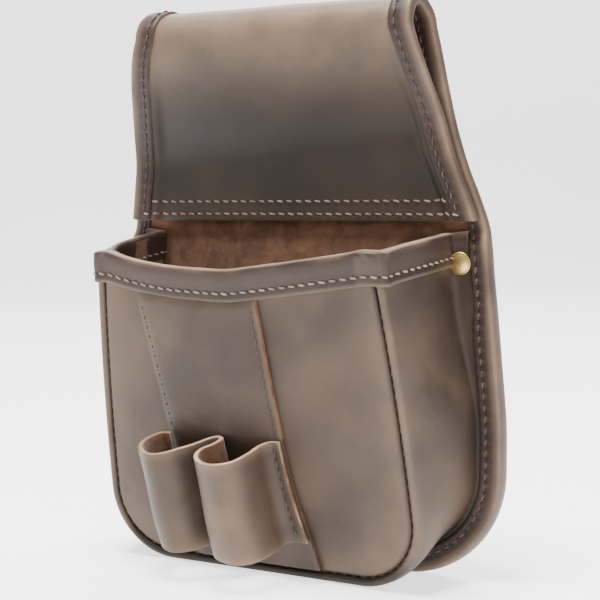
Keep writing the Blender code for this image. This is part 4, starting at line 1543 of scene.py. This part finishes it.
@dataclass
class Seams:
    """Every row of stitching."""

    panel: PanelPattern
    pocket: PocketPattern
    edge: EdgeBinding
    rim: RimBinding
    backing: LoopBacking
    loops: ToolLoops
    stitcher: Stitcher

    def flap_row(self, up: float, inset: float, face: int) -> list[tuple[Point, Point]]:
        """A row across the flap's bottom, on the grain (1) of the flap or of the back panel (-1)."""
        p = self.panel
        s = p.end - up
        left, right = -p.half_width(-1, s) + inset, p.half_width(1, s) - inset
        rows = []
        for u in evenly(left, right, 1.0):
            side = 1 if u > 0 else -1
            room = p.half_width(side, s) - abs(u)
            over = smoothstep((self.edge.leg_at(170.0) + 0.4 - room) / 1.6)
            level = p.thickness + over * (0.12 + self.edge.thickness) + p.wave(u, s)
            if face < 0:
                z = p.flap_bottom + up
                rows.append((vec(u, p.thickness + over * 1.32, z), vec(0.0, 1.0, 0.0)))
                continue
            a, b = p.place(u, s, level), p.place(u, s, level + 1.0)
            rows.append((a, unit(b - a)))
        return rows

    def backing_row(self, side: int) -> list[tuple[Point, Point]]:
        """Stitching along one edge of the overlay."""
        b = self.backing
        rows = []
        for z in evenly(b.low + 3.0, b.high - 8.0, 1.0):
            x = b.edge(side, z) - side * 3.0
            hidden = side < 0 and z < self.loops.top + 1.0
            if side > 0 and z < self.loops.top - 2.0 or hidden:
                continue
            rows.append((vec(x, b.face(x, z) + 0.1, z), vec(0.0, -1.0, -0.17)))
        return rows

    def loop_row(self, x: float, out: float) -> list[tuple[Point, Point]]:
        """Stitching down the strip at a place across it."""
        rows = []
        for drop in evenly(3.0, self.loops.top - self.loops.bottom - 3.0, 1.0):
            rows.append((self.loops.place(x, out, drop), vec(0.0, -1.0, -0.1)))
        return rows

    def front_seam(self) -> list[tuple[Point, Point]]:
        """Hidden thread in the groove of the front seam."""
        rows = []
        for q in self.pocket.parameters(14):
            front, _, out = self.pocket.at(q)
            if front[1] > 127.0:
                continue
            rows.append((vec(front[0], self.pocket.lean(front[1]) + 1.7, front[1]), vec(0.0, -1.0, 0.0)))
        return rows

    def build(self, shop: Workshop) -> None:
        """Adds the rows."""
        sew = self.stitcher.row
        edge, rim = self.edge, self.rim
        # Rows sunk into the leather use the darker copy of the thread, painted shade.
        dark = self.stitcher.palette.shaded_thread
        for word, face, nodes in (("grain", 1, ["thread_edge"]), ("flesh", -1, [])):
            track = edge.stitch_track(face)[3:-3]
            sew(shop, f"stitches_edge_{word}", track, edge.pitch, nodes, 0.46, 0.66, dark)
        for word, face, nodes in (("outside", 1, ["thread_rim"]), ("inside", -1, [])):
            sew(shop, f"stitches_rim_{word}", rim.stitch_track(face), rim.pitch, nodes)
        for panel, face in (("flap", 1), ("back", -1)):
            for word, up, inset in (("lower", 3.0, 5.0), ("upper", 9.0, 9.0)):
                nodes = [f"thread_flap_{word}"] if face > 0 else []
                sew(shop, f"stitches_{panel}_{word}", self.flap_row(up, inset, face), 5.2, nodes)
        for word, side, radius, fill in (("right", 1, 0.38, 0.6), ("left", -1, 0.30, 0.5)):
            track, nodes = self.backing_row(side), [f"thread_backing_{word}"]
            sew(shop, f"stitches_backing_{word}", track, 4.6, nodes, radius, fill, dark)
        half = self.loops.thickness / 2.0
        for word, x, out in (("left", -40.6, 1.5), ("middle", -11.4, 1.75), ("right", 17.4, 1.55)):
            track, nodes = self.loop_row(x, out + half), [f"thread_loop_{word}"]
            sew(shop, f"stitches_loop_{word}", track, 4.6, nodes, 0.40, 0.6, dark)
        sew(shop, "stitches_front_seam", self.front_seam(), 5.0, ["thread_seam"], 0.35, 0.6, dark)


# ---------------------------------------------------------------------------- studio


@dataclass
class Studio:
    """Pale floor and backdrop, soft lights and the camera."""

    distance: float = 0.7
    azimuth: float = 31.26
    eye: float = 0.1798
    lens: float = 88.8
    pitch: float = 4.59
    roll: float = -0.6
    side_shift: float = -0.0003
    floor_reach: float = 1.6
    cove: float = 0.9

    def backdrop(self) -> None:
        """A floor that curves up into a wall."""
        bm = bmesh.new()
        bmesh.ops.create_grid(bm, x_segments=2, y_segments=60, size=1.0)
        for v in bm.verts:
            t = (v.co.y + 1.0) / 2.0
            run = -self.floor_reach + 4.6 * t
            wall = max(0.0, run - self.floor_reach)
            turn = min(wall / self.cove, math.pi / 2.0)
            rise = self.cove * (1.0 - math.cos(turn)) + max(0.0, wall - self.cove * math.pi / 2.0)
            ahead = min(run, self.floor_reach) + self.cove * math.sin(turn)
            x = v.co.x * 3.0
            a = math.radians(self.azimuth)
            across = x * math.cos(a) - ahead * math.sin(a)
            v.co = Vector((across, x * math.sin(a) + ahead * math.cos(a), rise))
        mesh = bpy.data.meshes.new("backdrop")
        bm.to_mesh(mesh)
        bm.free()
        mesh.shade_smooth()
        g = Graph("backdrop_paper")
        tint = g.noise(3.0, 2.0)
        paper = g.colours(tint, (0.92, 0.92, 0.92), (0.95, 0.95, 0.95))
        glow = {"Emission_Color": (1.0, 1.0, 1.0), "Emission_Strength": 1.6}
        mesh.materials.append(g.finish(Base_Color=paper, Roughness=0.9, Specular_IOR_Level=0.1, **glow))
        obj = bpy.data.objects.new("backdrop", mesh)
        bpy.context.scene.collection.objects.link(obj)

    def area(self, name: str, place: tuple, size: tuple, power: float) -> None:
        """A rectangular light aimed at the pouch."""
        light = bpy.data.lights.new(name, "AREA")
        light.shape = "RECTANGLE"
        light.size, light.size_y = size
        light.energy = power
        obj = bpy.data.objects.new(name, light)
        obj.location = place
        aim = Vector((0.0, 0.0, 0.13)) - Vector(place)
        obj.rotation_euler = aim.to_track_quat("-Z", "Y").to_euler()
        bpy.context.scene.collection.objects.link(obj)

    def lights(self) -> None:
        """Overhead key, left fill and a bright surround."""
        self.area("key_light", (-0.05, -0.22, 1.25), (0.50, 0.40), 44.0)
        self.area("left_light", (-1.1, -0.6, 0.85), (0.6, 0.8), 4.0)
        self.area("right_light", (1.35, -0.75, 0.8), (0.5, 0.8), 15.0)
        self.area("back_light", (-0.2, 1.05, 1.3), (1.8, 0.8), 40.0)
        world = bpy.data.worlds.new("surround")
        world.use_nodes = True
        world.node_tree.nodes["Background"].inputs[0].default_value = (1.0, 1.0, 1.0, 1.0)
        world.node_tree.nodes["Background"].inputs[1].default_value = 0.34
        bpy.context.scene.world = world

    def camera(self, shift_y: float) -> None:
        """The camera, right of the front and a little above the pocket."""
        a = math.radians(self.azimuth)
        data = bpy.data.cameras.new("camera")
        data.lens = self.lens
        data.sensor_width = 36.0
        data.dof.use_dof = False
        obj = bpy.data.objects.new("camera", data)
        ahead = Vector((-math.sin(a), math.cos(a), -math.tan(math.radians(self.pitch))))
        obj.location = Vector((math.sin(a) * self.distance, -math.cos(a) * self.distance + shift_y, self.eye))
        side = Vector((math.cos(a), math.sin(a), 0.0))
        obj.location = obj.location + side * self.side_shift
        turn = ahead.to_track_quat("-Z", "Y").to_matrix()
        obj.rotation_euler = (turn @ Matrix.Rotation(math.radians(self.roll), 3, "Z")).to_euler()
        bpy.context.scene.collection.objects.link(obj)
        bpy.context.scene.camera = obj

    def build(self, shift_y: float) -> None:
        """Sets the scene."""
        self.backdrop()
        self.lights()
        self.camera(shift_y)


def main() -> None:
    """Builds every piece and the studio round it."""
    panel = PanelPattern()
    low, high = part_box("back_panel")
    shift_y = high[1] / MM - panel.thickness
    shift_z = low[2] / MM - (panel.corner_z - panel.corner_radius)
    shop = Workshop(vec(0.0, shift_y, shift_z))
    palette = Palette()
    pocket = PocketPattern(panel)
    edge = EdgeBinding(panel, palette)
    rim = RimBinding(pocket, palette)
    backing = LoopBacking(pocket, palette)
    loops = ToolLoops(backing, palette)
    walls = (BackPanel(panel, palette), edge, Gusset(pocket, palette), FrontPanel(pocket, palette))
    for piece in (*walls, rim, backing, loops):
        piece.build(shop)
    for side in (-1, 1):
        Rivet(palette, side).build(shop)
    Seams(panel, pocket, edge, rim, backing, loops, Stitcher(palette)).build(shop)
    Studio().build(shift_y * MM)
    LOG.info("made %d pieces: %s", len(shop.made), ", ".join(shop.made))


if __name__ == "__main__":
    logging.basicConfig(level=logging.INFO)
    main()
